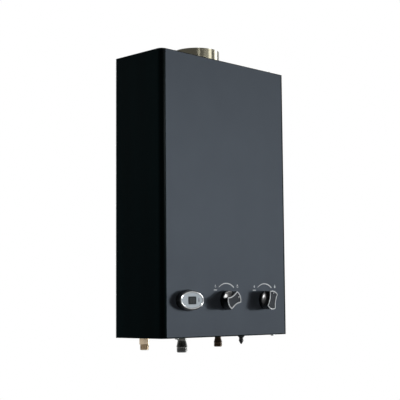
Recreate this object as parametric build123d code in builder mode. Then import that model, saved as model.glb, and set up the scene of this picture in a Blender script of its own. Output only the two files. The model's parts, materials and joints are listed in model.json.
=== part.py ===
from build123d import *
import math
import os

# Wall-hung gas water heater with a flue collar, two knobs and a display.
# Millimetres. The wall is the plane y = 0, the front faces -Y and +Z is up.
# The origin lies on the wall, midway between the two hanging keyholes.
# Heights are measured up from the casing's bottom edge, depths forward from the wall.

# Casing
CASE_WIDTH = 340.0
CASE_HEIGHT = 520.0
CASE_DEPTH = 125.0
CORNER_RADIUS = 10.0
SHEET = 1.0
PANEL_SHEET = 1.0
PANEL_FOOT = 2.0
PANEL_HEAD = 1.0
RIM = 10.0
LAP_GAP = 0.3
PLATE_FLANGE = 12.0
PLATE_FLANGE_INSET = 30.0
SIDE_FLANGE = 22.0

# Wall fixing
HANG_DROP = 60.0
HANG_SPACING = 200.0
KEYHOLE_RADIUS = 6.0
KEYHOLE_SLOT_WIDTH = 6.4
KEYHOLE_RISE = 12.0
LOWER_FIX_HEIGHT = 22.0
LOWER_FIX_SPACING = 180.0
LOWER_FIX_RADIUS = 3.25
RIB_INSET = 22.0
RIB_WIDTH = 16.0
RIB_DEPTH = 4.0
RIB_SLOPE = 60.0
RIB_END_ROOM = 60.0

# Cover screws
SCREW_INSET = 40.0
SCREW_RADIUS = 1.9
SCREW_LENGTH = 8.0
SCREW_HEAD_RADIUS = 3.4
SCREW_HEAD_HEIGHT = 2.2
SCREW_CLEARANCE = 0.2

# Flue
FLUE_DIAMETER = 90.0
FLUE_WALL = 1.0
FLUE_RISE = 30.0
FLUE_FLANGE = 3.5
FLUE_X = -6.0
NECK_RISE = 12.0
HOOD_SHOULDER = 1.5
HOOD_CORNER = 6.0

# Controls on the front
CONTROL_HEIGHT = 67.0
GAS_KNOB_X = -6.0
WATER_KNOB_INSET = 68.0
GAS_POINTER = 26.4
WATER_POINTER = 75.5
KNOB_RADIUS = 18.0
KNOB_GAP = 1.0
KNOB_BASE = 8.0
KNOB_REACH = 20.5
KNOB_EDGE = 2.5
GRIP_END_ANGLE = 40.0
GRIP_WAIST = 18.4
TRIM_WIDTH = 1.8
TRIM_HEIGHT = 1.2
INSERT_DROP = 0.4
INSERT_GAP = 0.1
SPINDLE_RADIUS = 3.0
SPINDLE_FLAT = 1.0
SPINDLE_GRIP = 11.0
SPINDLE_HOLE_RADIUS = 5.0
PLUG_RADIUS = 7.0
PLUG_LENGTH = 22.0
RUNNING_GAP = 0.06
PRESS_GAP = 0.05

# Display
DISPLAY_INSET = 64.0
BEZEL_WIDTH = 64.0
BEZEL_HEIGHT = 39.0
BEZEL_REACH = 9.0
BEZEL_TAPER = 1.8
NECK_WIDTH = 52.0
NECK_HEIGHT = 27.0
NECK_TAIL = 5.0
RING_WIDTH = 57.6
RING_HEIGHT = 31.6
RING_BAND = 2.2
RING_SHEET = 1.3
RING_EDGE = 0.5
PLATE_SHEET = 0.7
WINDOW_WIDTH = 19.5
WINDOW_HEIGHT = 14.0
WINDOW_CORNER = 1.5
WINDOW_SHEET = 0.5
BOARD_WIDTH = 44.0
BOARD_HEIGHT = 22.0
BOARD_SHEET = 1.6

# Connections under the floor
CONNECTION_FRONT_ROOM = 75.0
HOT_INSET = 25.0
GAS_X = -50.0
COLD_X = 48.0
DRAIN_INSET = 55.0
WATER_THREAD_RADIUS = 8.33
GAS_THREAD_RADIUS = 10.48
THREAD_CHAMFER = 0.8
WATER_BORE = 5.0
GAS_BORE = 6.0
HOT_DROP = 21.6
HOT_THREAD = 9.6
HOT_COLLAR_RADIUS = 9.2
HOT_FLANGE_RADIUS = 12.0
HOT_FLANGE_SHEET = 3.0
HOT_SLEEVE_RADIUS = 8.5
HOT_SLEEVE_TOP = 24.0
GAS_DROP = 29.5
GAS_THREAD = 10.0
GAS_NECK_RADIUS = 8.0
GAS_SHOULDER = 11.5
GAS_COLLAR_RADIUS = 9.2
GAS_FLANGE_RADIUS = 13.0
COLD_DROP = 22.0
COLD_THREAD = 8.0
COLD_NECK_RADIUS = 6.2
COLD_SHOULDER = 8.0
COLD_FLANGE_RADIUS = 11.0
FITTING_FLANGE = 4.0
FITTING_COLLAR = 2.0
FITTING_COLLAR_DROP = 5.0
FILTER_RADIUS = 4.8
FILTER_WALL = 0.8
FILTER_LENGTH = 14.0
FILTER_DROP = 20.0

# Drain plug
DRAIN_RADIUS = 5.0
DRAIN_REACH = 30.0
DRAIN_HEAD_RADIUS = 7.5
DRAIN_HEAD_HEIGHT = 4.0
DRAIN_CONE = 3.6
DRAIN_WAIST_RADIUS = 4.2
DRAIN_STEM_RADIUS = 4.75
DRAIN_STEM = 9.5
DRAIN_TIP = 6.5
DRAIN_TIP_RADIUS = 1.2
DRAIN_BOSS_RADIUS = 9.0
DRAIN_BOSS_GAP = 1.0
DRAIN_WAY_RADIUS = 3.0
SEAL_THICKNESS = 2.0

# Water and gas valve
VALVE_BOSS_RADIUS = 12.0
VALVE_BOSS_FRONT_ROOM = 31.0
WATER_FLANGE_RADIUS = 27.0
WATER_FLANGE_SHEET = 9.0
WATER_CHAMBER_RADIUS = 20.5
WATER_CHAMBER_DEPTH = 6.0
WATER_BARREL_RADIUS = 16.0
WATER_BODY_LEFT = 38.0
WATER_BODY_TAIL = 15.0
WATER_WAY_RADIUS = 6.0
WATER_BOSS_RADIUS = 9.0
INLET_BOSS_LENGTH = 10.0
SOCKET_DEPTH = 10.0
SOCKET_GAP = 0.1
DIAPHRAGM_SHEET = 2.5
COVER_THICKNESS = 13.5
COVER_CHAMBER = 8.0
GLAND_RADIUS = 8.0
GLAND_LENGTH = 6.0
VALVE_BOLT_RADIUS = 1.9
VALVE_BOLT_RING_RADIUS = 24.0
VALVE_BOLT_HEAD_RADIUS = 3.0
VALVE_BOLT_HEAD = 3.0
HEX_SIDES = 6
VALVE_BOLTS = 4
VALVE_BOLT_TURN = 45.0
ROD_RADIUS = 3.0
ROD_PLATE_RADIUS = 18.0
ROD_PLATE_SHEET = 2.5
ROD_COLLAR_RADIUS = 5.5
ROD_COLLAR_LENGTH = 4.0
ROD_COLLAR_X = 10.0
DISC_RADIUS = 11.0
DISC_SHEET = 4.0
DISC_EDGE = 1.0
SEAT_X = -19.7
SEAT_RADIUS = 8.0
GAS_BLOCK_LEFT = -72.0
GAS_BLOCK_RIGHT = 2.0
GAS_BLOCK_SIZE = 48.0
GAS_BLOCK_CORNER = 6.0
GAS_CHAMBER_RADIUS = 15.0
GAS_OUTLET_X = -12.0
GUIDE_LENGTH = 6.0
CAP_SIZE = 38.0
CAP_SHEET = 4.0
CAP_PLUG = 5.0
CAP_STEM = 15.0
CAP_STEM_RADIUS = 5.0
SOLENOID_RADIUS = 13.0
SOLENOID_HEIGHT = 28.0
SOLENOID_BASE = 30.0
SOLENOID_BASE_SHEET = 3.0
SOLENOID_EDGE = 1.5
SPACER_RADIUS = 4.0
SPACER_OFFSET = 17.0
SWITCH_WIDTH = 6.4
SWITCH_HEIGHT = 10.0
SWITCH_BUTTON_RADIUS = 1.2
SWITCH_BUTTON = 2.2
VALVE_BRACKET_LEFT = -60.0
VALVE_BRACKET_RIGHT = -20.0
VALVE_BRACKET_HEIGHT = 34.0
BRACKET_SHEET = 2.0
BRACKET_FOOT = 10.0

# Heat exchanger
EXCHANGER_SIDE_ROOM = 72.0
EXCHANGER_REAR = 17.0
EXCHANGER_FRONT_ROOM = 19.0
EXCHANGER_HEIGHT = 180.0
EXCHANGER_WALL = 1.0
TUBE_RADIUS = 6.0
TUBE_WALL = 0.8
TUBE_RUNS = 3
TUBE_PITCH = 25.0
TUBE_DROP = 35.0
TUBE_BEND_ROOM = 20.0
TUBE_END_ROOM = 14.0
FIN_PITCH = 15.0
FIN_END_ROOM = 15.5
FIN_SHEET = 0.6
FIN_HEIGHT = 50.0
COIL_GAP = 0.3
COIL_RAISE = 23.0
COIL_CLIMB = 30.0
COIL_TAIL = 32.0
BEND_RADIUS = 12.0
HANGER_HALF_WIDTH = 60.0
HANGER_FOOT = 20.0
HANGER_HEIGHT = 12.0
LOWER_HANGER_RAISE = 2.0
UPPER_HANGER_RAISE = 125.0
OFFSET_TOP = 80.0
OFFSET_BOTTOM = 56.0
OVERHEAT_DROP = 60.0
OVERHEAT_RADIUS = 7.0
OVERHEAT_HEIGHT = 7.0
OVERHEAT_SADDLE = 16.0
OVERHEAT_SADDLE_SHEET = 3.0

# Burner
BAR_PITCH = 24.0
BAR_REAR = 30.0
BURNER_BOTTOM = 140.0
BAR_HEIGHT = 63.0
BAR_WEB = 5.0
BAR_HEAD_WIDTH = 12.0
BAR_HEAD_HEIGHT = 16.0
BAR_HEAD_SLOPE = 80.0
VENTURI_RADIUS = 8.0
VENTURI_BORE = 5.5
VENTURI_LENGTH = 40.0
PORT_END_ROOM = 10.0
PORT_PITCH = 11.0
PORT_WIDTH = 3.0
PORT_DEPTH = 6.0
FRAME_SIDE_ROOM = 14.0
FLAME_ROOM = 10.0
FRAME_SHEET = 1.0
FRAME_FRONT_ROOM = 9.0
FRAME_TOP_GAP = 2.0
FRAME_RAIL = 9.0
FRAME_RAIL_SHEET = 2.0
FRAME_FOOT = 11.0
MANIFOLD_FRONT_ROOM = 15.0
MANIFOLD_RADIUS = 8.0
MANIFOLD_WALL = 1.5
MANIFOLD_END_ROOM = 2.0
RISER_RADIUS = 7.0
RISER_TURN = 120.0
RISER_BEND = 14.0
PAD_RADIUS = 5.0
PAD_REACH = 1.0
NOZZLE_RADIUS = 3.6
NOZZLE_TIP_RADIUS = 2.0
NOZZLE_LENGTH = 4.0
NOZZLE_HEX = 2.0
STRIP_HEIGHT = 9.0
STRIP_SHEET = 1.0
ELECTRODE_X = 24.0
CERAMIC_RADIUS = 3.0
CERAMIC_FRONT = 13.0
CERAMIC_REAR = 6.0
CERAMIC_COLLAR_RADIUS = 5.0
CERAMIC_COLLAR = 3.0
WIRE_RADIUS = 0.9
WIRE_LENGTH = 14.0

# Electrics
MODULE_OFFSET = 34.0
MODULE_WIDTH = 48.0
MODULE_DEPTH = 26.0
MODULE_TOP_ROOM = 4.0
MODULE_HEIGHT = 48.0
MODULE_CORNER = 3.0
MODULE_EDGE = 1.0
MODULE_PORT_OFFSET = 11.0
MODULE_PORT_DEPTH = 15.0
LEAD_RADIUS = 1.8
LEAD_DROP = 20.0
LEAD_RISE_OFFSET = 36.0
LEAD_BEND = 14.0
BATTERY_INSET = 56.0
BATTERY_FRONT_ROOM = 27.5
BATTERY_RADIUS = 16.5
BATTERY_LENGTH = 60.0
BATTERY_NUB_RADIUS = 4.5
BATTERY_NUB = 1.5
BATTERY_GAP = 0.3
BOX_WALL = 1.7
BOX_HEADROOM = 0.4
BOX_TAB = 6.0
BOX_TAB_WIDTH = 20.0
BOX_TAB_SHEET = 2.0
LID_SHEET = 1.6
LID_RAISE = 0.2
LID_CLEARANCE = 0.4
HINGE_OFFSET = 2.6
HINGE_BARREL_RADIUS = 1.3
HINGE_PIN_RADIUS = 0.75
HINGE_HALF_LENGTH = 27.0
HINGE_EAR = 3.0
HINGE_EAR_HEIGHT = 6.0
AIR_SLOT_LENGTH = 40.0
AIR_SLOT_WIDTH = 4.0
AIR_SLOT_PITCH = 9.0
AIR_SLOTS = 4
AIR_SLOT_X = 0.0
AIR_SLOT_FRONT_ROOM = 31.0

# Worked out from the sizes above
HANG_HEIGHT = CASE_HEIGHT - HANG_DROP
HALF_WIDTH = CASE_WIDTH / 2
PANEL_WIDTH = CASE_WIDTH - 2 * CORNER_RADIUS
COVER_DEPTH = CASE_DEPTH - PANEL_SHEET
INNER_DEPTH = COVER_DEPTH - SHEET
ROOM_DEPTH = INNER_DEPTH - LAP_GAP
COVER_REAR = SHEET + LAP_GAP
PANEL_HEIGHT = CASE_HEIGHT - PANEL_FOOT - PANEL_HEAD
AIR_SLOT_DEPTH = INNER_DEPTH - AIR_SLOT_FRONT_ROOM
CONNECTION_DEPTH = CASE_DEPTH - CONNECTION_FRONT_ROOM
VALVE_BOSS_DEPTH = CASE_DEPTH - VALVE_BOSS_FRONT_ROOM
REAR_FLANGE_MIDDLE = SHEET + SHEET / 2
FRONT_FLANGE_MIDDLE = ROOM_DEPTH - SHEET / 2
FLOOR_TOP = 2 * SHEET
ROOF_BOTTOM = CASE_HEIGHT - 2 * SHEET
FLUE_RADIUS = FLUE_DIAMETER / 2
FLUE_DEPTH = COVER_REAR + FLUE_FLANGE + FLUE_RADIUS
FLUE_NECK_RADIUS = FLUE_RADIUS - FLUE_WALL - LAP_GAP
SCREW_X = HALF_WIDTH - SCREW_INSET
SCREW_DEPTH = COVER_DEPTH - RIM / 2
DISPLAY_X = DISPLAY_INSET - HALF_WIDTH
WATER_KNOB_X = HALF_WIDTH - WATER_KNOB_INSET
HOT_X = HOT_INSET - HALF_WIDTH
DRAIN_X = HALF_WIDTH - DRAIN_INSET
EXCHANGER_WIDTH = CASE_WIDTH - 2 * EXCHANGER_SIDE_ROOM
EXCHANGER_FRONT = CASE_DEPTH - EXCHANGER_FRONT_ROOM
EXCHANGER_DEPTH = EXCHANGER_FRONT - EXCHANGER_REAR
EXCHANGER_MIDDLE = (EXCHANGER_FRONT + EXCHANGER_REAR) / 2
BAR_BOTTOM = BURNER_BOTTOM + FRAME_RAIL_SHEET
BAR_TOP = BAR_BOTTOM + BAR_HEIGHT
EXCHANGER_BOTTOM = BAR_TOP + FLAME_ROOM
EXCHANGER_TOP = EXCHANGER_BOTTOM + EXCHANGER_HEIGHT
FIN_COUNT = int((EXCHANGER_WIDTH - 2 * FIN_END_ROOM) // FIN_PITCH) + 1
TUBE_HEIGHT = EXCHANGER_TOP - TUBE_DROP
TUBE_BEND_X = EXCHANGER_WIDTH / 2 + TUBE_BEND_ROOM
TUBE_END_X = EXCHANGER_WIDTH / 2 + TUBE_END_ROOM
FRONT_TUBE = EXCHANGER_MIDDLE + TUBE_PITCH
REAR_TUBE = EXCHANGER_MIDDLE - TUBE_PITCH
COIL_X = EXCHANGER_WIDTH / 2 + COIL_GAP + TUBE_RADIUS
COIL_FRONT = EXCHANGER_FRONT + COIL_GAP + TUBE_RADIUS
COIL_REAR = EXCHANGER_REAR - COIL_GAP - TUBE_RADIUS
COIL_FIRST = EXCHANGER_BOTTOM + COIL_RAISE
COIL_SECOND = COIL_FIRST + COIL_CLIMB
COIL_END = COIL_SECOND + COIL_CLIMB
INLET_BOSS_BOTTOM = CONTROL_HEIGHT - WATER_FLANGE_RADIUS - INLET_BOSS_LENGTH
OUTLET_BOSS_TOP = CONTROL_HEIGHT + WATER_FLANGE_RADIUS
GAS_BLOCK_BOTTOM = CONTROL_HEIGHT - GAS_BLOCK_SIZE / 2
GAS_BLOCK_TOP = CONTROL_HEIGHT + GAS_BLOCK_SIZE / 2
GAS_BLOCK_REAR = CONNECTION_DEPTH - GAS_BLOCK_SIZE / 2
GAS_BLOCK_FRONT = CONNECTION_DEPTH + GAS_BLOCK_SIZE / 2
PLUG_REAR = VALVE_BOSS_DEPTH - PLUG_LENGTH
WATER_BODY_RIGHT = DRAIN_X + WATER_BODY_TAIL
COVER_RIGHT = WATER_BODY_LEFT - DIAPHRAGM_SHEET
COVER_LEFT = COVER_RIGHT - COVER_THICKNESS
RISER_SOCKET = GAS_BLOCK_TOP - SOCKET_DEPTH
DRAIN_BOSS_BOTTOM = FLOOR_TOP + DRAIN_BOSS_GAP
SEAL_TOP = DRAIN_BOSS_BOTTOM - PRESS_GAP
DRAIN_HEAD_TOP = SEAL_TOP - SEAL_THICKNESS - PRESS_GAP
VENTURI_HEIGHT = BAR_BOTTOM + VENTURI_RADIUS
FRAME_FRONT = EXCHANGER_FRONT - FRAME_FRONT_ROOM
BAR_FRONT = FRAME_FRONT - FRAME_SHEET
PORT_COUNT = int((BAR_FRONT - BAR_REAR - 2 * PORT_END_ROOM) // PORT_PITCH) + 1
MANIFOLD_DEPTH = CASE_DEPTH - MANIFOLD_FRONT_ROOM
PAD_FACE = MANIFOLD_DEPTH - MANIFOLD_RADIUS - PAD_REACH
FRAME_SIDE = EXCHANGER_WIDTH / 2 - FRAME_SIDE_ROOM
FRAME_HEIGHT = EXCHANGER_BOTTOM - FRAME_TOP_GAP - BURNER_BOTTOM
BAR_COUNT = int(2 * FRAME_SIDE // BAR_PITCH)
MANIFOLD_END = FRAME_SIDE - MANIFOLD_END_ROOM
STRIP_MIDDLE = BAR_TOP + FLAME_ROOM / 2
MODULE_X = HOT_X + MODULE_OFFSET
MODULE_PORT_X = MODULE_X + MODULE_PORT_OFFSET
MODULE_TOP = BURNER_BOTTOM - MODULE_TOP_ROOM
BATTERY_X = BATTERY_INSET - HALF_WIDTH
BATTERY_DEPTH = INNER_DEPTH - BATTERY_FRONT_ROOM
BOX_LENGTH = 2 * (BATTERY_RADIUS + BATTERY_GAP + BOX_WALL)
BOX_WIDTH = BOX_LENGTH + 2 * (BATTERY_RADIUS + BATTERY_GAP)
BOX_REAR = BATTERY_DEPTH - BOX_LENGTH / 2
BOX_FRONT = BATTERY_DEPTH + BOX_LENGTH / 2
BOX_HEIGHT = BATTERY_LENGTH + BATTERY_NUB + 2 * BOX_HEADROOM + BOX_WALL
HINGE_DEPTH = BOX_REAR - HINGE_OFFSET
HINGE_HEIGHT = LID_RAISE + HINGE_BARREL_RADIUS
KNOB_AXES = {"gas": GAS_KNOB_X, "water": WATER_KNOB_X}


def up(height):
    """Frame z of a height above the casing's bottom edge."""
    return height - HANG_HEIGHT


def level(height):
    """Horizontal plane at a height, facing up."""
    return Plane.XY.offset(up(height))


def facing(depth):
    """Upright plane at a depth in front of the wall, facing forward."""
    return Plane.XZ.offset(depth)


def across(x):
    """Upright plane at a place along the width, facing right."""
    return Plane.YZ.offset(x)


def keep(piece, name):
    """Labels a finished piece and writes its STEP file."""
    piece.part.label = name
    export_step(piece.part, f"parts/{name}.step")


def cover_outline(inset):
    """Plan of the wrap-around cover, open line at the rear, inset from its outside."""
    half = HALF_WIDTH - inset
    front = inset - CASE_DEPTH
    with BuildSketch() as outline:
        with BuildLine():
            FilletPolyline(
                (-half, -COVER_REAR),
                (-half, front),
                (half, front),
                (half, -COVER_REAR),
                radius=CORNER_RADIUS - inset,
            )
            Line((half, -COVER_REAR), (-half, -COVER_REAR))
        make_face()
    return outline.sketch


def chassis_outline():
    """Plan of the roof and floor sheets, which lie inside the cover."""
    half = HALF_WIDTH - SHEET - LAP_GAP
    with BuildSketch() as outline:
        with BuildLine():
            FilletPolyline(
                (-half, -SHEET),
                (-half, -ROOM_DEPTH),
                (half, -ROOM_DEPTH),
                (half, -SHEET),
                radius=CORNER_RADIUS,
            )
            Line((half, -SHEET), (-half, -SHEET))
        make_face()
    return outline.sketch


def front_openings():
    """Holes in the front for the two spindles and the display's neck."""
    with BuildSketch() as openings:
        with Locations(*[(x, up(CONTROL_HEIGHT)) for x in KNOB_AXES.values()]):
            Circle(SPINDLE_HOLE_RADIUS)
        with Locations((DISPLAY_X, up(CONTROL_HEIGHT))):
            Ellipse(NECK_WIDTH / 2 + LAP_GAP, NECK_HEIGHT / 2 + LAP_GAP)
    return openings.sketch


def rib_section():
    """Section of a stiffening rib pressed forward out of the back plate."""
    with BuildSketch() as section:
        Trapezoid(RIB_WIDTH, RIB_DEPTH, RIB_SLOPE, rotation=180, align=(Align.CENTER, Align.MIN))
    return section.sketch


def screw_holes():
    """Clearance holes for the two screws that hold the cover to a sheet."""
    with BuildSketch() as holes:
        with Locations((-SCREW_X, -SCREW_DEPTH), (SCREW_X, -SCREW_DEPTH)):
            Circle(SCREW_RADIUS + SCREW_CLEARANCE)
    return holes.sketch


def bent_bar(route, bend, radius):
    """A round bar or lead along straight runs joined by equal bends."""
    with BuildPart() as bar:
        with BuildLine() as centre:
            FilletPolyline(*route, radius=bend)
        with BuildSketch(Plane(origin=centre.line @ 0, z_dir=centre.line % 0)):
            Circle(radius)
        sweep()
    return bar


def water_tube(route):
    """A copper water tube along straight runs joined by equal bends."""
    with BuildPart() as tube:
        add(bent_bar(route, BEND_RADIUS, TUBE_RADIUS).part)
        add(bent_bar(route, BEND_RADIUS, TUBE_RADIUS - TUBE_WALL).part, mode=Mode.SUBTRACT)
    return tube


def turned_upright(x, profile):
    """A turned piece on an upright axis in the row of connections, from radius and height pairs."""
    with BuildPart() as turned:
        with BuildSketch(facing(CONNECTION_DEPTH)):
            with BuildLine():
                Polyline(*[(x + radius, up(height)) for radius, height in profile], close=True)
            make_face()
        revolve(axis=Axis((x, -CONNECTION_DEPTH, 0), (0, 0, 1)))
    return turned


def grip_outline(radius, corner, waist):
    """Waisted grip seen from the front: round ends, hollow flanks, pointer along +x."""
    along = math.sqrt(radius**2 - corner**2)
    with BuildSketch() as outline:
        with BuildLine():
            ThreePointArc((along, -corner), (radius, 0), (along, corner))
            ThreePointArc((along, corner), (0, waist), (-along, corner))
            ThreePointArc((-along, corner), (-radius, 0), (-along, -corner))
            ThreePointArc((-along, -corner), (0, -waist), (along, -corner))
        make_face()
    return outline.sketch


def knob_plane(axis_x, pointer, reach):
    """Plane across a knob's axis, a reach in front of the panel, turned to its pointer."""
    turn = math.radians(pointer)
    return Plane(
        origin=(axis_x, -CASE_DEPTH - reach, up(CONTROL_HEIGHT)),
        x_dir=(math.cos(turn), 0, math.sin(turn)),
        z_dir=(0, -1, 0),
    )


def spindle_section(radius):
    """Round section with the flat that keys a knob to its spindle."""
    with BuildSketch() as section:
        Circle(radius)
        with Locations((0, radius - SPINDLE_FLAT / 2)):
            Rectangle(2 * radius, SPINDLE_FLAT, mode=Mode.SUBTRACT)
    return section.sketch


os.makedirs("parts", exist_ok=True)

# Front cover: black wrap with rounded corners, a let-in front wall with lips, and folded rims
with BuildPart() as front_cover:
    with BuildSketch(level(0)):
        add(cover_outline(0))
        add(cover_outline(SHEET), mode=Mode.SUBTRACT)
        with Locations((0, PANEL_SHEET / 2 - CASE_DEPTH)):
            Rectangle(
                PANEL_WIDTH + 2 * SHEET,
                PANEL_SHEET / 2 + SHEET,
                align=(Align.CENTER, Align.MIN),
            )
        with Locations((0, -CASE_DEPTH)):
            Rectangle(PANEL_WIDTH, PANEL_SHEET, align=(Align.CENTER, Align.MIN), mode=Mode.SUBTRACT)
    extrude(amount=CASE_HEIGHT)
    for height in (0, CASE_HEIGHT - SHEET):
        with BuildSketch(level(height)):
            add(cover_outline(SHEET / 2))
            with Locations((0, -COVER_REAR)):
                Rectangle(
                    CASE_WIDTH - 2 * RIM,
                    COVER_DEPTH - RIM - COVER_REAR,
                    align=(Align.CENTER, Align.MAX),
                    mode=Mode.SUBTRACT,
                )
            with Locations((0, -CASE_DEPTH)):
                Rectangle(PANEL_WIDTH, PANEL_SHEET, align=(Align.CENTER, Align.MIN), mode=Mode.SUBTRACT)
            add(screw_holes(), mode=Mode.SUBTRACT)
        extrude(amount=SHEET)
    for height, lip in ((0, PANEL_FOOT), (CASE_HEIGHT - PANEL_HEAD, PANEL_HEAD)):
        with BuildSketch(level(height)):
            with Locations((0, -CASE_DEPTH)):
                Rectangle(PANEL_WIDTH, PANEL_SHEET, align=(Align.CENTER, Align.MIN))
        extrude(amount=lip)
    with BuildSketch(facing(INNER_DEPTH)):
        add(front_openings())
    extrude(amount=SHEET, mode=Mode.SUBTRACT)
keep(front_cover, "front_cover")

# Front panel: flat graphite sheet let in flush between the rounded corners and the lips at foot and head
with BuildPart() as front_panel:
    with BuildSketch(facing(COVER_DEPTH)):
        with Locations((0, up(PANEL_FOOT))):
            Rectangle(PANEL_WIDTH, PANEL_HEIGHT, align=(Align.CENTER, Align.MIN))
        add(front_openings(), mode=Mode.SUBTRACT)
    extrude(amount=PANEL_SHEET)
keep(front_panel, "front_panel")

# Back plate: chassis sheet with hanging keyholes, lower screw holes, ribs and side flanges
with BuildPart() as back_plate:
    with BuildSketch(facing(0)):
        with Locations((0, up(CASE_HEIGHT / 2))):
            Rectangle(CASE_WIDTH, CASE_HEIGHT)
    extrude(amount=SHEET)
    rib_height = CASE_HEIGHT - 2 * RIB_END_ROOM
    with BuildSketch(level(RIB_END_ROOM)):
        for side in (-1, 1):
            with Locations((side * (HALF_WIDTH - RIB_INSET), -SHEET)):
                add(rib_section())
    extrude(amount=rib_height)
    with BuildSketch(level(RIB_END_ROOM + SHEET)):
        for side in (-1, 1):
            with Locations((side * (HALF_WIDTH - RIB_INSET), 0)):
                add(rib_section())
    extrude(amount=rib_height - 2 * SHEET, mode=Mode.SUBTRACT)
    with BuildSketch(facing(SHEET)):
        with Locations((0, up(CASE_HEIGHT / 2))):
            with GridLocations(2 * (HALF_WIDTH - SHEET - LAP_GAP) - SHEET, 0, 2, 1):
                Rectangle(SHEET, ROOF_BOTTOM - FLOOR_TOP - 2 * LAP_GAP)
    extrude(amount=SIDE_FLANGE)
    with BuildSketch(facing(0)):
        with GridLocations(HANG_SPACING, 0, 2, 1):
            Circle(KEYHOLE_RADIUS)
            with Locations((0, KEYHOLE_RISE / 2)):
                SlotCenterToCenter(KEYHOLE_RISE, KEYHOLE_SLOT_WIDTH, rotation=90)
        with Locations((0, up(LOWER_FIX_HEIGHT))):
            with GridLocations(LOWER_FIX_SPACING, 0, 2, 1):
                Circle(LOWER_FIX_RADIUS)
    extrude(amount=SHEET, mode=Mode.SUBTRACT)
keep(back_plate, "back_plate")

# Roof sheet with the flue hole and two folded flanges
with BuildPart() as top_plate:
    with BuildSketch(level(ROOF_BOTTOM)):
        add(chassis_outline())
        add(screw_holes(), mode=Mode.SUBTRACT)
        with Locations((FLUE_X, -FLUE_DEPTH)):
            Circle(FLUE_NECK_RADIUS + LAP_GAP, mode=Mode.SUBTRACT)
    extrude(amount=SHEET)
    with BuildSketch(level(ROOF_BOTTOM - PLATE_FLANGE)):
        with Locations((0, -REAR_FLANGE_MIDDLE), (0, -FRONT_FLANGE_MIDDLE)):
            Rectangle(CASE_WIDTH - 2 * PLATE_FLANGE_INSET, SHEET)
    extrude(amount=PLATE_FLANGE)
keep(top_plate, "top_plate")

# Floor sheet with holes for the connections and the battery lid, and air slots
with BuildPart() as bottom_plate:
    with BuildSketch(level(SHEET)):
        add(chassis_outline())
        add(screw_holes(), mode=Mode.SUBTRACT)
        for x, radius in (
            (HOT_X, HOT_COLLAR_RADIUS),
            (GAS_X, GAS_THREAD_RADIUS),
            (COLD_X, WATER_THREAD_RADIUS),
            (DRAIN_X, DRAIN_HEAD_RADIUS),
        ):
            with Locations((x, -CONNECTION_DEPTH)):
                Circle(radius + LAP_GAP, mode=Mode.SUBTRACT)
        with Locations((BATTERY_X, -BOX_FRONT - LID_CLEARANCE)):
            Rectangle(
                BOX_WIDTH + 2 * LID_CLEARANCE,
                BOX_FRONT - HINGE_DEPTH + HINGE_EAR + 2 * LID_CLEARANCE,
                align=(Align.CENTER, Align.MIN),
                mode=Mode.SUBTRACT,
            )
        with Locations((AIR_SLOT_X, -AIR_SLOT_DEPTH)):
            with GridLocations(0, AIR_SLOT_PITCH, 1, AIR_SLOTS):
                SlotOverall(AIR_SLOT_LENGTH, AIR_SLOT_WIDTH, mode=Mode.SUBTRACT)
    extrude(amount=SHEET)
    with BuildSketch(level(FLOOR_TOP)):
        with Locations((0, -REAR_FLANGE_MIDDLE), (0, -FRONT_FLANGE_MIDDLE)):
            Rectangle(CASE_WIDTH - 2 * PLATE_FLANGE_INSET, SHEET)
    extrude(amount=PLATE_FLANGE)
keep(bottom_plate, "bottom_plate")

# Cover screws: two into the roof, two into the floor
with BuildPart() as cover_screws:
    for seat, way in ((CASE_HEIGHT, 1), (0, -1)):
        with BuildSketch(level(seat)):
            with Locations((-SCREW_X, -SCREW_DEPTH), (SCREW_X, -SCREW_DEPTH)):
                Circle(SCREW_HEAD_RADIUS)
        extrude(amount=way * SCREW_HEAD_HEIGHT)
        with BuildSketch(level(seat)):
            with Locations((-SCREW_X, -SCREW_DEPTH), (SCREW_X, -SCREW_DEPTH)):
                Circle(SCREW_RADIUS)
        extrude(amount=-way * SCREW_LENGTH)
keep(cover_screws, "cover_screws")

# Flue collar: rolled stainless tube on a narrow foot
with BuildPart() as flue_collar:
    with BuildSketch(level(CASE_HEIGHT - SHEET)):
        with Locations((FLUE_X, -FLUE_DEPTH)):
            Circle(FLUE_RADIUS + FLUE_FLANGE)
    extrude(amount=SHEET)
    with BuildSketch(level(CASE_HEIGHT)):
        with Locations((FLUE_X, -FLUE_DEPTH)):
            Circle(FLUE_RADIUS)
    extrude(amount=FLUE_RISE)
    with BuildSketch(level(CASE_HEIGHT - SHEET)):
        with Locations((FLUE_X, -FLUE_DEPTH)):
            Circle(FLUE_RADIUS - FLUE_WALL)
    extrude(amount=SHEET + FLUE_RISE, mode=Mode.SUBTRACT)
keep(flue_collar, "flue_collar")

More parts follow.
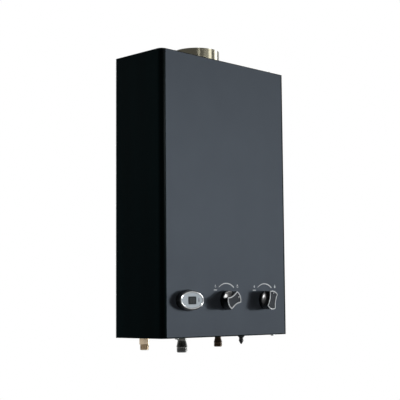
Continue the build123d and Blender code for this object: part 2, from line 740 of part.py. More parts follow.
# Flue hood: tapered sheet hood from the heat exchanger to the neck inside the collar
with BuildPart() as flue_hood:
    for trim, roof, mode in ((0, 0, Mode.ADD), (SHEET, SHEET, Mode.SUBTRACT)):
        with BuildSketch(level(EXCHANGER_TOP)):
            with Locations((0, -EXCHANGER_MIDDLE)):
                RectangleRounded(
                    EXCHANGER_WIDTH - 2 * trim, EXCHANGER_DEPTH - 2 * trim, HOOD_CORNER - trim
                )
        with BuildSketch(level(ROOF_BOTTOM - roof)):
            with Locations((FLUE_X, -FLUE_DEPTH)):
                RectangleRounded(
                    FLUE_DIAMETER + 2 * (HOOD_SHOULDER - trim),
                    FLUE_DIAMETER + 2 * (HOOD_SHOULDER - trim),
                    HOOD_CORNER - trim,
                )
        loft(ruled=True, mode=mode)
    with BuildSketch(level(ROOF_BOTTOM - SHEET)):
        with Locations((FLUE_X, -FLUE_DEPTH)):
            Circle(FLUE_NECK_RADIUS)
    extrude(amount=2 * SHEET + NECK_RISE)
    with BuildSketch(level(ROOF_BOTTOM - SHEET)):
        with Locations((FLUE_X, -FLUE_DEPTH)):
            Circle(FLUE_NECK_RADIUS - SHEET)
    extrude(amount=2 * SHEET + NECK_RISE, mode=Mode.SUBTRACT)
keep(flue_hood, "flue_hood")

# Heat exchanger shell: copper box, open above and below, bored for the fin tubes
with BuildPart() as heat_exchanger_shell:
    with BuildSketch(level(EXCHANGER_BOTTOM)):
        with Locations((0, -EXCHANGER_MIDDLE)):
            RectangleRounded(EXCHANGER_WIDTH, EXCHANGER_DEPTH, HOOD_CORNER)
            RectangleRounded(
                EXCHANGER_WIDTH - 2 * EXCHANGER_WALL,
                EXCHANGER_DEPTH - 2 * EXCHANGER_WALL,
                HOOD_CORNER - EXCHANGER_WALL,
                mode=Mode.SUBTRACT,
            )
    extrude(amount=EXCHANGER_HEIGHT)
    with BuildSketch(across(0)):
        with Locations((-EXCHANGER_MIDDLE, up(TUBE_HEIGHT))):
            with GridLocations(TUBE_PITCH, 0, TUBE_RUNS, 1):
                Circle(TUBE_RADIUS + SOCKET_GAP)
    extrude(amount=EXCHANGER_WIDTH, both=True, mode=Mode.SUBTRACT)
keep(heat_exchanger_shell, "heat_exchanger_shell")

# Fin pack: copper fins across the top of the shell
with BuildPart() as fin_pack:
    for fin in range(FIN_COUNT):
        with BuildSketch(across((fin - (FIN_COUNT - 1) / 2) * FIN_PITCH)):
            with Locations((-EXCHANGER_MIDDLE, up(TUBE_HEIGHT))):
                Rectangle(EXCHANGER_DEPTH - 2 * (EXCHANGER_WALL + SOCKET_GAP), FIN_HEIGHT)
                with GridLocations(TUBE_PITCH, 0, TUBE_RUNS, 1):
                    Circle(TUBE_RADIUS + SOCKET_GAP, mode=Mode.SUBTRACT)
        extrude(amount=FIN_SHEET)
keep(fin_pack, "fin_pack")

# Fin tubes: serpentine through the fins, from the coil's end to the hot pipe
fin_tubes = water_tube(
    [
        (TUBE_BEND_X, -FRONT_TUBE, up(COIL_END + COIL_TAIL)),
        (TUBE_BEND_X, -FRONT_TUBE, up(TUBE_HEIGHT)),
        (-TUBE_BEND_X, -FRONT_TUBE, up(TUBE_HEIGHT)),
        (-TUBE_BEND_X, -EXCHANGER_MIDDLE, up(TUBE_HEIGHT)),
        (TUBE_BEND_X, -EXCHANGER_MIDDLE, up(TUBE_HEIGHT)),
        (TUBE_BEND_X, -REAR_TUBE, up(TUBE_HEIGHT)),
        (-TUBE_END_X, -REAR_TUBE, up(TUBE_HEIGHT)),
    ]
)
keep(fin_tubes, "fin_tubes")

# Jacket coil: rises from the water valve and wraps the shell twice
jacket_coil = water_tube(
    [
        (COIL_X, -CONNECTION_DEPTH, up(OUTLET_BOSS_TOP - SOCKET_DEPTH)),
        (COIL_X, -CONNECTION_DEPTH, up(COIL_FIRST)),
        (COIL_X, -COIL_FRONT, up(COIL_FIRST)),
        (-COIL_X, -COIL_FRONT, up(COIL_FIRST)),
        (-COIL_X, -COIL_REAR, up(COIL_FIRST)),
        (COIL_X, -COIL_REAR, up(COIL_SECOND)),
        (COIL_X, -COIL_FRONT, up(COIL_SECOND)),
        (-COIL_X, -COIL_FRONT, up(COIL_SECOND)),
        (-COIL_X, -COIL_REAR, up(COIL_SECOND)),
        (TUBE_BEND_X, -COIL_REAR, up(COIL_END)),
        (TUBE_BEND_X, -FRONT_TUBE, up(COIL_END)),
        (TUBE_BEND_X, -FRONT_TUBE, up(COIL_END + COIL_TAIL)),
    ]
)
keep(jacket_coil, "jacket_coil")

# Hot pipe: from the last fin tube down to the outlet's sleeve
hot_pipe = water_tube(
    [
        (-TUBE_END_X, -REAR_TUBE, up(TUBE_HEIGHT)),
        (HOT_X, -REAR_TUBE, up(TUBE_HEIGHT)),
        (HOT_X, -REAR_TUBE, up(OFFSET_TOP)),
        (HOT_X, -CONNECTION_DEPTH, up(OFFSET_BOTTOM)),
        (HOT_X, -CONNECTION_DEPTH, up(HOT_SLEEVE_TOP - SOCKET_DEPTH)),
    ]
)
keep(hot_pipe, "hot_pipe")

# Overheat switch clipped to the front of the hot pipe
with BuildPart() as overheat_switch:
    with BuildSketch(facing(REAR_TUBE + TUBE_RADIUS + SOCKET_GAP)):
        with Locations((HOT_X, up(TUBE_HEIGHT - OVERHEAT_DROP))):
            RectangleRounded(OVERHEAT_SADDLE, OVERHEAT_SADDLE, OVERHEAT_SADDLE_SHEET)
    extrude(amount=OVERHEAT_SADDLE_SHEET)
    with BuildSketch(facing(REAR_TUBE + TUBE_RADIUS + SOCKET_GAP + OVERHEAT_SADDLE_SHEET)):
        with Locations((HOT_X, up(TUBE_HEIGHT - OVERHEAT_DROP))):
            Circle(OVERHEAT_RADIUS)
    extrude(amount=OVERHEAT_HEIGHT)
keep(overheat_switch, "overheat_switch")

# Heat exchanger brackets: two hat sections on the back plate
with BuildPart() as heat_exchanger_brackets:
    for height in (EXCHANGER_BOTTOM + LOWER_HANGER_RAISE, EXCHANGER_BOTTOM + UPPER_HANGER_RAISE):
        with BuildSketch(level(height)):
            with BuildLine():
                Polyline(
                    (-HANGER_HALF_WIDTH - HANGER_FOOT, -SHEET),
                    (-HANGER_HALF_WIDTH, -SHEET),
                    (-HANGER_HALF_WIDTH, SHEET - EXCHANGER_REAR),
                    (HANGER_HALF_WIDTH, SHEET - EXCHANGER_REAR),
                    (HANGER_HALF_WIDTH, -SHEET),
                    (HANGER_HALF_WIDTH + HANGER_FOOT, -SHEET),
                )
                offset(amount=SHEET, side=Side.RIGHT)
            make_face()
        extrude(amount=HANGER_HEIGHT)
keep(heat_exchanger_brackets, "heat_exchanger_brackets")

# Burner bars: folded flame bars with a venturi below and ports across the head
with BuildPart() as burner_bars:
    with BuildSketch(facing(BAR_REAR)):
        with Locations((0, up(BAR_BOTTOM))):
            with GridLocations(BAR_PITCH, 0, BAR_COUNT, 1):
                Rectangle(BAR_WEB, BAR_HEIGHT, align=(Align.CENTER, Align.MIN))
                with Locations((0, VENTURI_RADIUS)):
                    Circle(VENTURI_RADIUS)
                with Locations((0, BAR_HEIGHT)):
                    Trapezoid(
                        BAR_HEAD_WIDTH,
                        BAR_HEAD_HEIGHT,
                        BAR_HEAD_SLOPE,
                        align=(Align.CENTER, Align.MAX),
                    )
    extrude(amount=BAR_FRONT - BAR_REAR)
    with BuildSketch(facing(BAR_FRONT)):
        with Locations((0, up(VENTURI_HEIGHT))):
            with GridLocations(BAR_PITCH, 0, BAR_COUNT, 1):
                Circle(VENTURI_BORE)
    extrude(amount=-VENTURI_LENGTH, mode=Mode.SUBTRACT)
    with BuildSketch(level(BAR_TOP)):
        with Locations((0, -(BAR_FRONT + BAR_REAR) / 2)):
            with GridLocations(0, PORT_PITCH, 1, PORT_COUNT):
                Rectangle(BAR_PITCH * BAR_COUNT, PORT_WIDTH)
    extrude(amount=-PORT_DEPTH, mode=Mode.SUBTRACT)
keep(burner_bars, "burner_bars")

# Burner frame: side sheets with feet on the back plate, and two rails under the bars
with BuildPart() as burner_frame:
    for side in (-1, 1):
        with BuildSketch(level(BURNER_BOTTOM)):
            with Locations((side * (FRAME_SIDE + FRAME_SHEET / 2), -SHEET)):
                Rectangle(FRAME_SHEET, FRAME_FRONT - SHEET, align=(Align.CENTER, Align.MAX))
            with Locations((side * (FRAME_SIDE + (FRAME_FOOT + FRAME_SHEET) / 2), -SHEET)):
                Rectangle(FRAME_FOOT + FRAME_SHEET, FRAME_SHEET, align=(Align.CENTER, Align.MAX))
        extrude(amount=FRAME_HEIGHT)
    with BuildSketch(level(BURNER_BOTTOM)):
        with Locations((0, -BAR_REAR), (0, FRAME_RAIL - BAR_FRONT)):
            Rectangle(2 * FRAME_SIDE, FRAME_RAIL, align=(Align.CENTER, Align.MAX))
    extrude(amount=FRAME_RAIL_SHEET)
keep(burner_frame, "burner_frame")

# Gas manifold: cross tube with nozzle pads, fed by a riser from the gas valve
riser_route = [
    (GAS_OUTLET_X, -CONNECTION_DEPTH, up(RISER_SOCKET)),
    (GAS_OUTLET_X, -CONNECTION_DEPTH, up(RISER_TURN)),
    (GAS_OUTLET_X, -MANIFOLD_DEPTH, up(RISER_TURN)),
    (GAS_OUTLET_X, -MANIFOLD_DEPTH, up(VENTURI_HEIGHT)),
]
with BuildPart() as gas_manifold:
    for inset, mode in ((0, Mode.ADD), (MANIFOLD_WALL, Mode.SUBTRACT)):
        add(bent_bar(riser_route, RISER_BEND, RISER_RADIUS - inset).part, mode=mode)
        with BuildSketch(across(0)):
            with Locations((-MANIFOLD_DEPTH, up(VENTURI_HEIGHT))):
                Circle(MANIFOLD_RADIUS - inset)
        extrude(amount=MANIFOLD_END - inset, both=True, mode=mode)
        with BuildSketch(facing(PAD_FACE)):
            with Locations((0, up(VENTURI_HEIGHT))):
                with GridLocations(BAR_PITCH, 0, BAR_COUNT, 1):
                    Circle(PAD_RADIUS - 2 * inset)
        extrude(amount=MANIFOLD_DEPTH - PAD_FACE, mode=mode)
keep(gas_manifold, "gas_manifold")

# Gas nozzles: one brass jet for each burner bar
with BuildPart() as gas_nozzles:
    with BuildSketch(facing(PAD_FACE)):
        with Locations((0, up(VENTURI_HEIGHT))):
            with GridLocations(BAR_PITCH, 0, BAR_COUNT, 1):
                RegularPolygon(NOZZLE_RADIUS, HEX_SIDES)
    extrude(amount=-NOZZLE_HEX)
    with BuildSketch(facing(PAD_FACE)):
        with Locations((0, up(VENTURI_HEIGHT))):
            with GridLocations(BAR_PITCH, 0, BAR_COUNT, 1):
                Circle(NOZZLE_TIP_RADIUS)
    extrude(amount=-NOZZLE_LENGTH)
keep(gas_nozzles, "gas_nozzles")

# Electrode bracket: strip across the front of the burner frame
with BuildPart() as electrode_bracket:
    with BuildSketch(facing(FRAME_FRONT)):
        with Locations((0, up(STRIP_MIDDLE))):
            Rectangle(2 * (FRAME_SIDE + FRAME_SHEET), STRIP_HEIGHT)
            with GridLocations(2 * ELECTRODE_X, 0, 2, 1):
                Circle(CERAMIC_RADIUS + SOCKET_GAP, mode=Mode.SUBTRACT)
    extrude(amount=STRIP_SHEET)
keep(electrode_bracket, "electrode_bracket")

# Electrodes: ceramic insulators with a collar and a wire over the flames
strip_front = FRAME_FRONT + STRIP_SHEET
for name, x in (("ignition_electrode", -ELECTRODE_X), ("flame_probe", ELECTRODE_X)):
    with BuildPart() as electrode:
        for radius, front, length in (
            (CERAMIC_RADIUS, strip_front + CERAMIC_FRONT, CERAMIC_FRONT + STRIP_SHEET + CERAMIC_REAR),
            (CERAMIC_COLLAR_RADIUS, strip_front + CERAMIC_COLLAR, CERAMIC_COLLAR),
            (WIRE_RADIUS, FRAME_FRONT - CERAMIC_REAR, WIRE_LENGTH),
        ):
            with BuildSketch(facing(front)):
                with Locations((x, up(STRIP_MIDDLE))):
                    Circle(radius)
            extrude(amount=-length)
    keep(electrode, name)

# Gas valve body: die-cast block with a seat chamber, inlet, outlet and spindle boss
with BuildPart() as gas_valve_body:
    with BuildSketch(across(GAS_BLOCK_LEFT)):
        with Locations((-CONNECTION_DEPTH, up(CONTROL_HEIGHT))):
            RectangleRounded(GAS_BLOCK_SIZE, GAS_BLOCK_SIZE, GAS_BLOCK_CORNER)
    extrude(amount=GAS_BLOCK_RIGHT - GAS_BLOCK_LEFT)
    with BuildSketch(facing(GAS_BLOCK_FRONT)):
        with Locations((GAS_KNOB_X, up(CONTROL_HEIGHT))):
            Circle(VALVE_BOSS_RADIUS)
    extrude(amount=VALVE_BOSS_DEPTH - GAS_BLOCK_FRONT)
    for radius, start, end in (
        (GAS_CHAMBER_RADIUS, GAS_BLOCK_LEFT, SEAT_X),
        (SEAT_RADIUS, SEAT_X, GAS_BLOCK_RIGHT - GUIDE_LENGTH),
        (ROD_RADIUS + RUNNING_GAP, GAS_BLOCK_RIGHT - GUIDE_LENGTH, GAS_BLOCK_RIGHT),
    ):
        with BuildSketch(across(start)):
            with Locations((-CONNECTION_DEPTH, up(CONTROL_HEIGHT))):
                Circle(radius)
        extrude(amount=end - start, mode=Mode.SUBTRACT)
    for x, radius, bottom, top in (
        (GAS_X, GAS_BORE, GAS_BLOCK_BOTTOM, CONTROL_HEIGHT),
        (GAS_OUTLET_X, GAS_BORE, CONTROL_HEIGHT, RISER_SOCKET),
        (GAS_OUTLET_X, RISER_RADIUS + SOCKET_GAP, RISER_SOCKET, GAS_BLOCK_TOP),
    ):
        with BuildSketch(level(bottom)):
            with Locations((x, -CONNECTION_DEPTH)):
                Circle(radius)
        extrude(amount=top - bottom, mode=Mode.SUBTRACT)
    with BuildSketch(facing(VALVE_BOSS_DEPTH)):
        with Locations((GAS_KNOB_X, up(CONTROL_HEIGHT))):
            Circle(PLUG_RADIUS + RUNNING_GAP)
    extrude(amount=-PLUG_LENGTH, mode=Mode.SUBTRACT)
keep(gas_valve_body, "gas_valve_body")

# Gas valve cap: closes the chamber on the left and carries the spring stem
with BuildPart() as gas_valve_cap:
    with BuildSketch(across(GAS_BLOCK_LEFT)):
        with Locations((-CONNECTION_DEPTH, up(CONTROL_HEIGHT))):
            RectangleRounded(CAP_SIZE, CAP_SIZE, GAS_BLOCK_CORNER)
    extrude(amount=-CAP_SHEET)
    for radius, length in (
        (GAS_CHAMBER_RADIUS - SOCKET_GAP, CAP_PLUG),
        (CAP_STEM_RADIUS, CAP_STEM),
    ):
        with BuildSketch(across(GAS_BLOCK_LEFT)):
            with Locations((-CONNECTION_DEPTH, up(CONTROL_HEIGHT))):
                Circle(radius)
        extrude(amount=length)
keep(gas_valve_cap, "gas_valve_cap")

# Solenoid valve: safety coil on top of the gas valve
with BuildPart() as solenoid_valve:
    with BuildSketch(level(GAS_BLOCK_TOP)):
        with Locations((GAS_X, -CONNECTION_DEPTH)):
            RectangleRounded(SOLENOID_BASE, SOLENOID_BASE, SOLENOID_BASE_SHEET)
    extrude(amount=SOLENOID_BASE_SHEET)
    with BuildSketch(level(GAS_BLOCK_TOP + SOLENOID_BASE_SHEET)):
        with Locations((GAS_X, -CONNECTION_DEPTH)):
            Circle(SOLENOID_RADIUS)
    extrude(amount=SOLENOID_HEIGHT)
    chamfer(solenoid_valve.faces().sort_by(Axis.Z)[-1].edges(), SOLENOID_EDGE)
keep(solenoid_valve, "solenoid_valve")

# Valve bracket: channel that carries the gas valve on the back plate
with BuildPart() as valve_bracket:
    with BuildSketch(level(CONTROL_HEIGHT - VALVE_BRACKET_HEIGHT / 2)):
        with BuildLine():
            Polyline(
                (VALVE_BRACKET_LEFT - BRACKET_FOOT, -SHEET),
                (VALVE_BRACKET_LEFT, -SHEET),
                (VALVE_BRACKET_LEFT, BRACKET_SHEET - GAS_BLOCK_REAR),
                (VALVE_BRACKET_RIGHT, BRACKET_SHEET - GAS_BLOCK_REAR),
                (VALVE_BRACKET_RIGHT, -SHEET),
                (VALVE_BRACKET_RIGHT + BRACKET_FOOT, -SHEET),
            )
            offset(amount=BRACKET_SHEET, side=Side.RIGHT)
        make_face()
    extrude(amount=VALVE_BRACKET_HEIGHT)
keep(valve_bracket, "valve_bracket")

# Water valve body: brass casting with inlet, outlet, drain and spindle bosses
with BuildPart() as water_valve_body:
    for radius, end in (
        (WATER_FLANGE_RADIUS, WATER_BODY_LEFT + WATER_FLANGE_SHEET),
        (WATER_BARREL_RADIUS, WATER_BODY_RIGHT),
    ):
        with BuildSketch(across(WATER_BODY_LEFT)):
            with Locations((-CONNECTION_DEPTH, up(CONTROL_HEIGHT))):
                Circle(radius)
        extrude(amount=end - WATER_BODY_LEFT)
    for x, radius, bottom, top in (
        (COLD_X, WATER_BOSS_RADIUS, INLET_BOSS_BOTTOM, CONTROL_HEIGHT),
        (COIL_X, WATER_BOSS_RADIUS, CONTROL_HEIGHT, OUTLET_BOSS_TOP),
        (DRAIN_X, DRAIN_BOSS_RADIUS, DRAIN_BOSS_BOTTOM, CONTROL_HEIGHT),
    ):
        with BuildSketch(level(bottom)):
            with Locations((x, -CONNECTION_DEPTH)):
                Circle(radius)
        extrude(amount=top - bottom)
    with BuildSketch(facing(CONNECTION_DEPTH)):
        with Locations((WATER_KNOB_X, up(CONTROL_HEIGHT))):
            Circle(VALVE_BOSS_RADIUS)
    extrude(amount=VALVE_BOSS_DEPTH - CONNECTION_DEPTH)
    for radius, end in (
        (WATER_CHAMBER_RADIUS, WATER_BODY_LEFT + WATER_CHAMBER_DEPTH),
        (WATER_WAY_RADIUS, DRAIN_X),
    ):
        with BuildSketch(across(WATER_BODY_LEFT)):
            with Locations((-CONNECTION_DEPTH, up(CONTROL_HEIGHT))):
                Circle(radius)
        extrude(amount=end - WATER_BODY_LEFT, mode=Mode.SUBTRACT)
    for x, radius, bottom, top in (
        (COLD_X, WATER_BORE, INLET_BOSS_BOTTOM, CONTROL_HEIGHT),
        (COIL_X, WATER_BORE, CONTROL_HEIGHT, OUTLET_BOSS_TOP),
        (COIL_X, TUBE_RADIUS + SOCKET_GAP, OUTLET_BOSS_TOP - SOCKET_DEPTH, OUTLET_BOSS_TOP),
        (DRAIN_X, DRAIN_RADIUS + RUNNING_GAP, DRAIN_BOSS_BOTTOM, DRAIN_BOSS_BOTTOM + DRAIN_REACH),
        (DRAIN_X, DRAIN_WAY_RADIUS, DRAIN_BOSS_BOTTOM, CONTROL_HEIGHT),
    ):
        with BuildSketch(level(bottom)):
            with Locations((x, -CONNECTION_DEPTH)):
                Circle(radius)
        extrude(amount=top - bottom, mode=Mode.SUBTRACT)
    with BuildSketch(facing(VALVE_BOSS_DEPTH)):
        with Locations((WATER_KNOB_X, up(CONTROL_HEIGHT))):
            Circle(PLUG_RADIUS + RUNNING_GAP)
    extrude(amount=-PLUG_LENGTH, mode=Mode.SUBTRACT)
    with BuildSketch(across(WATER_BODY_LEFT)):
        with Locations((-CONNECTION_DEPTH, up(CONTROL_HEIGHT))):
            with PolarLocations(VALVE_BOLT_RING_RADIUS, VALVE_BOLTS, start_angle=VALVE_BOLT_TURN):
                Circle(VALVE_BOLT_RADIUS + SOCKET_GAP)
    extrude(amount=WATER_FLANGE_SHEET, mode=Mode.SUBTRACT)
keep(water_valve_body, "water_valve_body")

# Diaphragm: rubber disc clamped between the two halves
with BuildPart() as diaphragm:
    with BuildSketch(across(COVER_RIGHT)):
        with Locations((-CONNECTION_DEPTH, up(CONTROL_HEIGHT))):
            Circle(WATER_FLANGE_RADIUS)
            with PolarLocations(VALVE_BOLT_RING_RADIUS, VALVE_BOLTS, start_angle=VALVE_BOLT_TURN):
                Circle(VALVE_BOLT_RADIUS + SOCKET_GAP, mode=Mode.SUBTRACT)
    extrude(amount=DIAPHRAGM_SHEET)
keep(diaphragm, "diaphragm")

# Water valve cover: dished half with the push rod's gland
with BuildPart() as water_valve_cover:
    with BuildSketch(across(COVER_LEFT)):
        with Locations((-CONNECTION_DEPTH, up(CONTROL_HEIGHT))):
            Circle(WATER_FLANGE_RADIUS)
            with PolarLocations(VALVE_BOLT_RING_RADIUS, VALVE_BOLTS, start_angle=VALVE_BOLT_TURN):
                Circle(VALVE_BOLT_RADIUS + SOCKET_GAP, mode=Mode.SUBTRACT)
    extrude(amount=COVER_THICKNESS)
    with BuildSketch(across(COVER_LEFT)):
        with Locations((-CONNECTION_DEPTH, up(CONTROL_HEIGHT))):
            Circle(GLAND_RADIUS)
    extrude(amount=-GLAND_LENGTH)
    with BuildSketch(across(COVER_RIGHT)):
        with Locations((-CONNECTION_DEPTH, up(CONTROL_HEIGHT))):
            Circle(WATER_CHAMBER_RADIUS)
    extrude(amount=-COVER_CHAMBER, mode=Mode.SUBTRACT)
    with BuildSketch(across(COVER_LEFT - GLAND_LENGTH)):
        with Locations((-CONNECTION_DEPTH, up(CONTROL_HEIGHT))):
            Circle(ROD_RADIUS + RUNNING_GAP)
    extrude(amount=GLAND_LENGTH + COVER_THICKNESS, mode=Mode.SUBTRACT)
keep(water_valve_cover, "water_valve_cover")

# Valve bolts: clamp cover, diaphragm and body together
with BuildPart() as valve_bolts:
    with BuildSketch(across(COVER_LEFT)):
        with Locations((-CONNECTION_DEPTH, up(CONTROL_HEIGHT))):
            with PolarLocations(VALVE_BOLT_RING_RADIUS, VALVE_BOLTS, start_angle=VALVE_BOLT_TURN):
                RegularPolygon(VALVE_BOLT_HEAD_RADIUS, HEX_SIDES)
    extrude(amount=-VALVE_BOLT_HEAD)
    with BuildSketch(across(COVER_LEFT)):
        with Locations((-CONNECTION_DEPTH, up(CONTROL_HEIGHT))):
            with PolarLocations(VALVE_BOLT_RING_RADIUS, VALVE_BOLTS, start_angle=VALVE_BOLT_TURN):
                Circle(VALVE_BOLT_RADIUS)
    extrude(amount=COVER_THICKNESS + DIAPHRAGM_SHEET + WATER_FLANGE_SHEET)
keep(valve_bolts, "valve_bolts")

# Valve spacers: posts that tie the water valve's cover to the gas valve
with BuildPart() as valve_spacers:
    with BuildSketch(across(GAS_BLOCK_RIGHT)):
        with Locations((-CONNECTION_DEPTH, up(CONTROL_HEIGHT))):
            with GridLocations(2 * SPACER_OFFSET, 0, 2, 1):
                Circle(SPACER_RADIUS)
    extrude(amount=COVER_LEFT - GAS_BLOCK_RIGHT)
keep(valve_spacers, "valve_spacers")

# Push rod: plate against the diaphragm, stem through both valves, collar for the switch
with BuildPart() as push_rod:
    plate_right = COVER_RIGHT - LAP_GAP
    disc_face = SEAT_X - LAP_GAP
    for radius, start, end in (
        (ROD_PLATE_RADIUS, plate_right - ROD_PLATE_SHEET, plate_right),
        (ROD_RADIUS, disc_face, plate_right),
        (
            ROD_COLLAR_RADIUS,
            ROD_COLLAR_X - ROD_COLLAR_LENGTH / 2,
            ROD_COLLAR_X + ROD_COLLAR_LENGTH / 2,
        ),
    ):
        with BuildSketch(across(start)):
            with Locations((-CONNECTION_DEPTH, up(CONTROL_HEIGHT))):
                Circle(radius)
        extrude(amount=end - start)
keep(push_rod, "push_rod")

# Gas valve disc: rubber-faced disc on the end of the push rod
with BuildPart() as gas_valve_disc:
    with BuildSketch(across(SEAT_X - LAP_GAP)):
        with Locations((-CONNECTION_DEPTH, up(CONTROL_HEIGHT))):
            Circle(DISC_RADIUS)
    extrude(amount=-DISC_SHEET)
    chamfer(gas_valve_disc.faces().sort_by(Axis.X)[0].edges(), DISC_EDGE)
keep(gas_valve_disc, "gas_valve_disc")

# Microswitch between the valves, with its button over the rod's collar
with BuildPart() as microswitch:
    button_bottom = CONTROL_HEIGHT + ROD_COLLAR_RADIUS + LAP_GAP
    with BuildSketch(level(button_bottom + SWITCH_BUTTON)):
        with Locations((GAS_BLOCK_RIGHT, -CONNECTION_DEPTH)):
            Rectangle(COVER_LEFT - GAS_BLOCK_RIGHT, SWITCH_WIDTH, align=(Align.MIN, Align.CENTER))
    extrude(amount=SWITCH_HEIGHT)
    with BuildSketch(level(button_bottom)):
        with Locations((ROD_COLLAR_X, -CONNECTION_DEPTH)):
            Circle(SWITCH_BUTTON_RADIUS)
    extrude(amount=SWITCH_BUTTON)
keep(microswitch, "microswitch")

# Hot outlet: brass nipple with a flange on the floor and a sleeve for the hot pipe
hot_socket = HOT_SLEEVE_TOP - SOCKET_DEPTH
hot_outlet_nipple = turned_upright(
    HOT_X,
    [
        (WATER_BORE, -HOT_DROP),
        (WATER_THREAD_RADIUS - THREAD_CHAMFER, -HOT_DROP),
        (WATER_THREAD_RADIUS, THREAD_CHAMFER - HOT_DROP),
        (WATER_THREAD_RADIUS, HOT_THREAD - HOT_DROP),
        (HOT_COLLAR_RADIUS, HOT_THREAD + THREAD_CHAMFER - HOT_DROP),
        (HOT_COLLAR_RADIUS, FLOOR_TOP),
        (HOT_FLANGE_RADIUS, FLOOR_TOP),
        (HOT_FLANGE_RADIUS, FLOOR_TOP + HOT_FLANGE_SHEET),
        (HOT_SLEEVE_RADIUS, FLOOR_TOP + HOT_FLANGE_SHEET),
        (HOT_SLEEVE_RADIUS, HOT_SLEEVE_TOP),
        (TUBE_RADIUS + SOCKET_GAP, HOT_SLEEVE_TOP),
        (TUBE_RADIUS + SOCKET_GAP, hot_socket),
        (WATER_BORE, hot_socket),
    ],
)
keep(hot_outlet_nipple, "hot_outlet_nipple")

# Gas inlet: plated nipple that widens to its thread, flanged to the gas valve
gas_inlet_nipple = turned_upright(
    GAS_X,
    [
        (GAS_BORE, -GAS_DROP),
        (GAS_THREAD_RADIUS - THREAD_CHAMFER, -GAS_DROP),
        (GAS_THREAD_RADIUS, THREAD_CHAMFER - GAS_DROP),
        (GAS_THREAD_RADIUS, GAS_THREAD - GAS_DROP),
        (GAS_NECK_RADIUS, GAS_THREAD + GAS_SHOULDER - GAS_DROP),
        (GAS_NECK_RADIUS, -FITTING_COLLAR_DROP - FITTING_COLLAR),
        (GAS_COLLAR_RADIUS, -FITTING_COLLAR_DROP - FITTING_COLLAR),
        (GAS_COLLAR_RADIUS, -FITTING_COLLAR_DROP),
        (GAS_NECK_RADIUS, -FITTING_COLLAR_DROP),
        (GAS_NECK_RADIUS, GAS_BLOCK_BOTTOM - FITTING_FLANGE),
        (GAS_FLANGE_RADIUS, GAS_BLOCK_BOTTOM - FITTING_FLANGE),
        (GAS_FLANGE_RADIUS, GAS_BLOCK_BOTTOM),
        (GAS_BORE, GAS_BLOCK_BOTTOM),
    ],
)
keep(gas_inlet_nipple, "gas_inlet_nipple")

# Cold inlet: dark bronze nipple that widens to its thread, flanged to the water valve
cold_inlet_nipple = turned_upright(
    COLD_X,
    [
        (WATER_BORE, -COLD_DROP),
        (WATER_THREAD_RADIUS - THREAD_CHAMFER, -COLD_DROP),
        (WATER_THREAD_RADIUS, THREAD_CHAMFER - COLD_DROP),
        (WATER_THREAD_RADIUS, COLD_THREAD - COLD_DROP),
        (COLD_NECK_RADIUS, COLD_THREAD + COLD_SHOULDER - COLD_DROP),
        (COLD_NECK_RADIUS, INLET_BOSS_BOTTOM - FITTING_FLANGE),
        (COLD_FLANGE_RADIUS, INLET_BOSS_BOTTOM - FITTING_FLANGE),
        (COLD_FLANGE_RADIUS, INLET_BOSS_BOTTOM),
        (WATER_BORE, INLET_BOSS_BOTTOM),
    ],
)
keep(cold_inlet_nipple, "cold_inlet_nipple")

# Inlet filter: strainer cup inside the cold inlet
inlet_filter = turned_upright(
    COLD_X,
    [
        (FILTER_RADIUS - FILTER_WALL, -FILTER_DROP),
        (FILTER_RADIUS, -FILTER_DROP),
        (FILTER_RADIUS, FILTER_LENGTH - FILTER_DROP),
        (0, FILTER_LENGTH - FILTER_DROP),
        (0, FILTER_LENGTH - FILTER_WALL - FILTER_DROP),
        (FILTER_RADIUS - FILTER_WALL, FILTER_LENGTH - FILTER_WALL - FILTER_DROP),
    ],
)
keep(inlet_filter, "inlet_filter")

# Drain plug: screw plug with a coned head and a pointed stem
head_bottom = DRAIN_HEAD_TOP - DRAIN_HEAD_HEIGHT
drain_plug = turned_upright(
    DRAIN_X,
    [
        (0, head_bottom - DRAIN_STEM - DRAIN_TIP),
        (DRAIN_TIP_RADIUS, head_bottom - DRAIN_STEM - DRAIN_TIP),
        (DRAIN_STEM_RADIUS, head_bottom - DRAIN_STEM),
        (DRAIN_WAIST_RADIUS, head_bottom - DRAIN_CONE),
        (DRAIN_HEAD_RADIUS, head_bottom),
        (DRAIN_HEAD_RADIUS, DRAIN_HEAD_TOP),
        (DRAIN_RADIUS, DRAIN_HEAD_TOP),
        (DRAIN_RADIUS, DRAIN_BOSS_BOTTOM + DRAIN_REACH - LAP_GAP),
        (0, DRAIN_BOSS_BOTTOM + DRAIN_REACH - LAP_GAP),
    ],
)
keep(drain_plug, "drain_plug")

# Drain seal: rubber washer between the plug's head and the valve body
drain_seal = turned_upright(
    DRAIN_X,
    [
        (DRAIN_RADIUS + RUNNING_GAP, SEAL_TOP - SEAL_THICKNESS),
        (DRAIN_HEAD_RADIUS, SEAL_TOP - SEAL_THICKNESS),
        (DRAIN_HEAD_RADIUS, SEAL_TOP),
        (DRAIN_RADIUS + RUNNING_GAP, SEAL_TOP),
    ],
)
keep(drain_seal, "drain_seal")

# Ignition module: potted box on the back plate with its lead port on top
with BuildPart() as ignition_module:
    with BuildSketch(level(MODULE_TOP)):
        with Locations((MODULE_X, -SHEET - MODULE_DEPTH / 2)):
            RectangleRounded(MODULE_WIDTH, MODULE_DEPTH, MODULE_CORNER)
    extrude(amount=-MODULE_HEIGHT)
    chamfer(ignition_module.faces().sort_by(Axis.Z)[-1].edges(), MODULE_EDGE)
keep(ignition_module, "ignition_module")

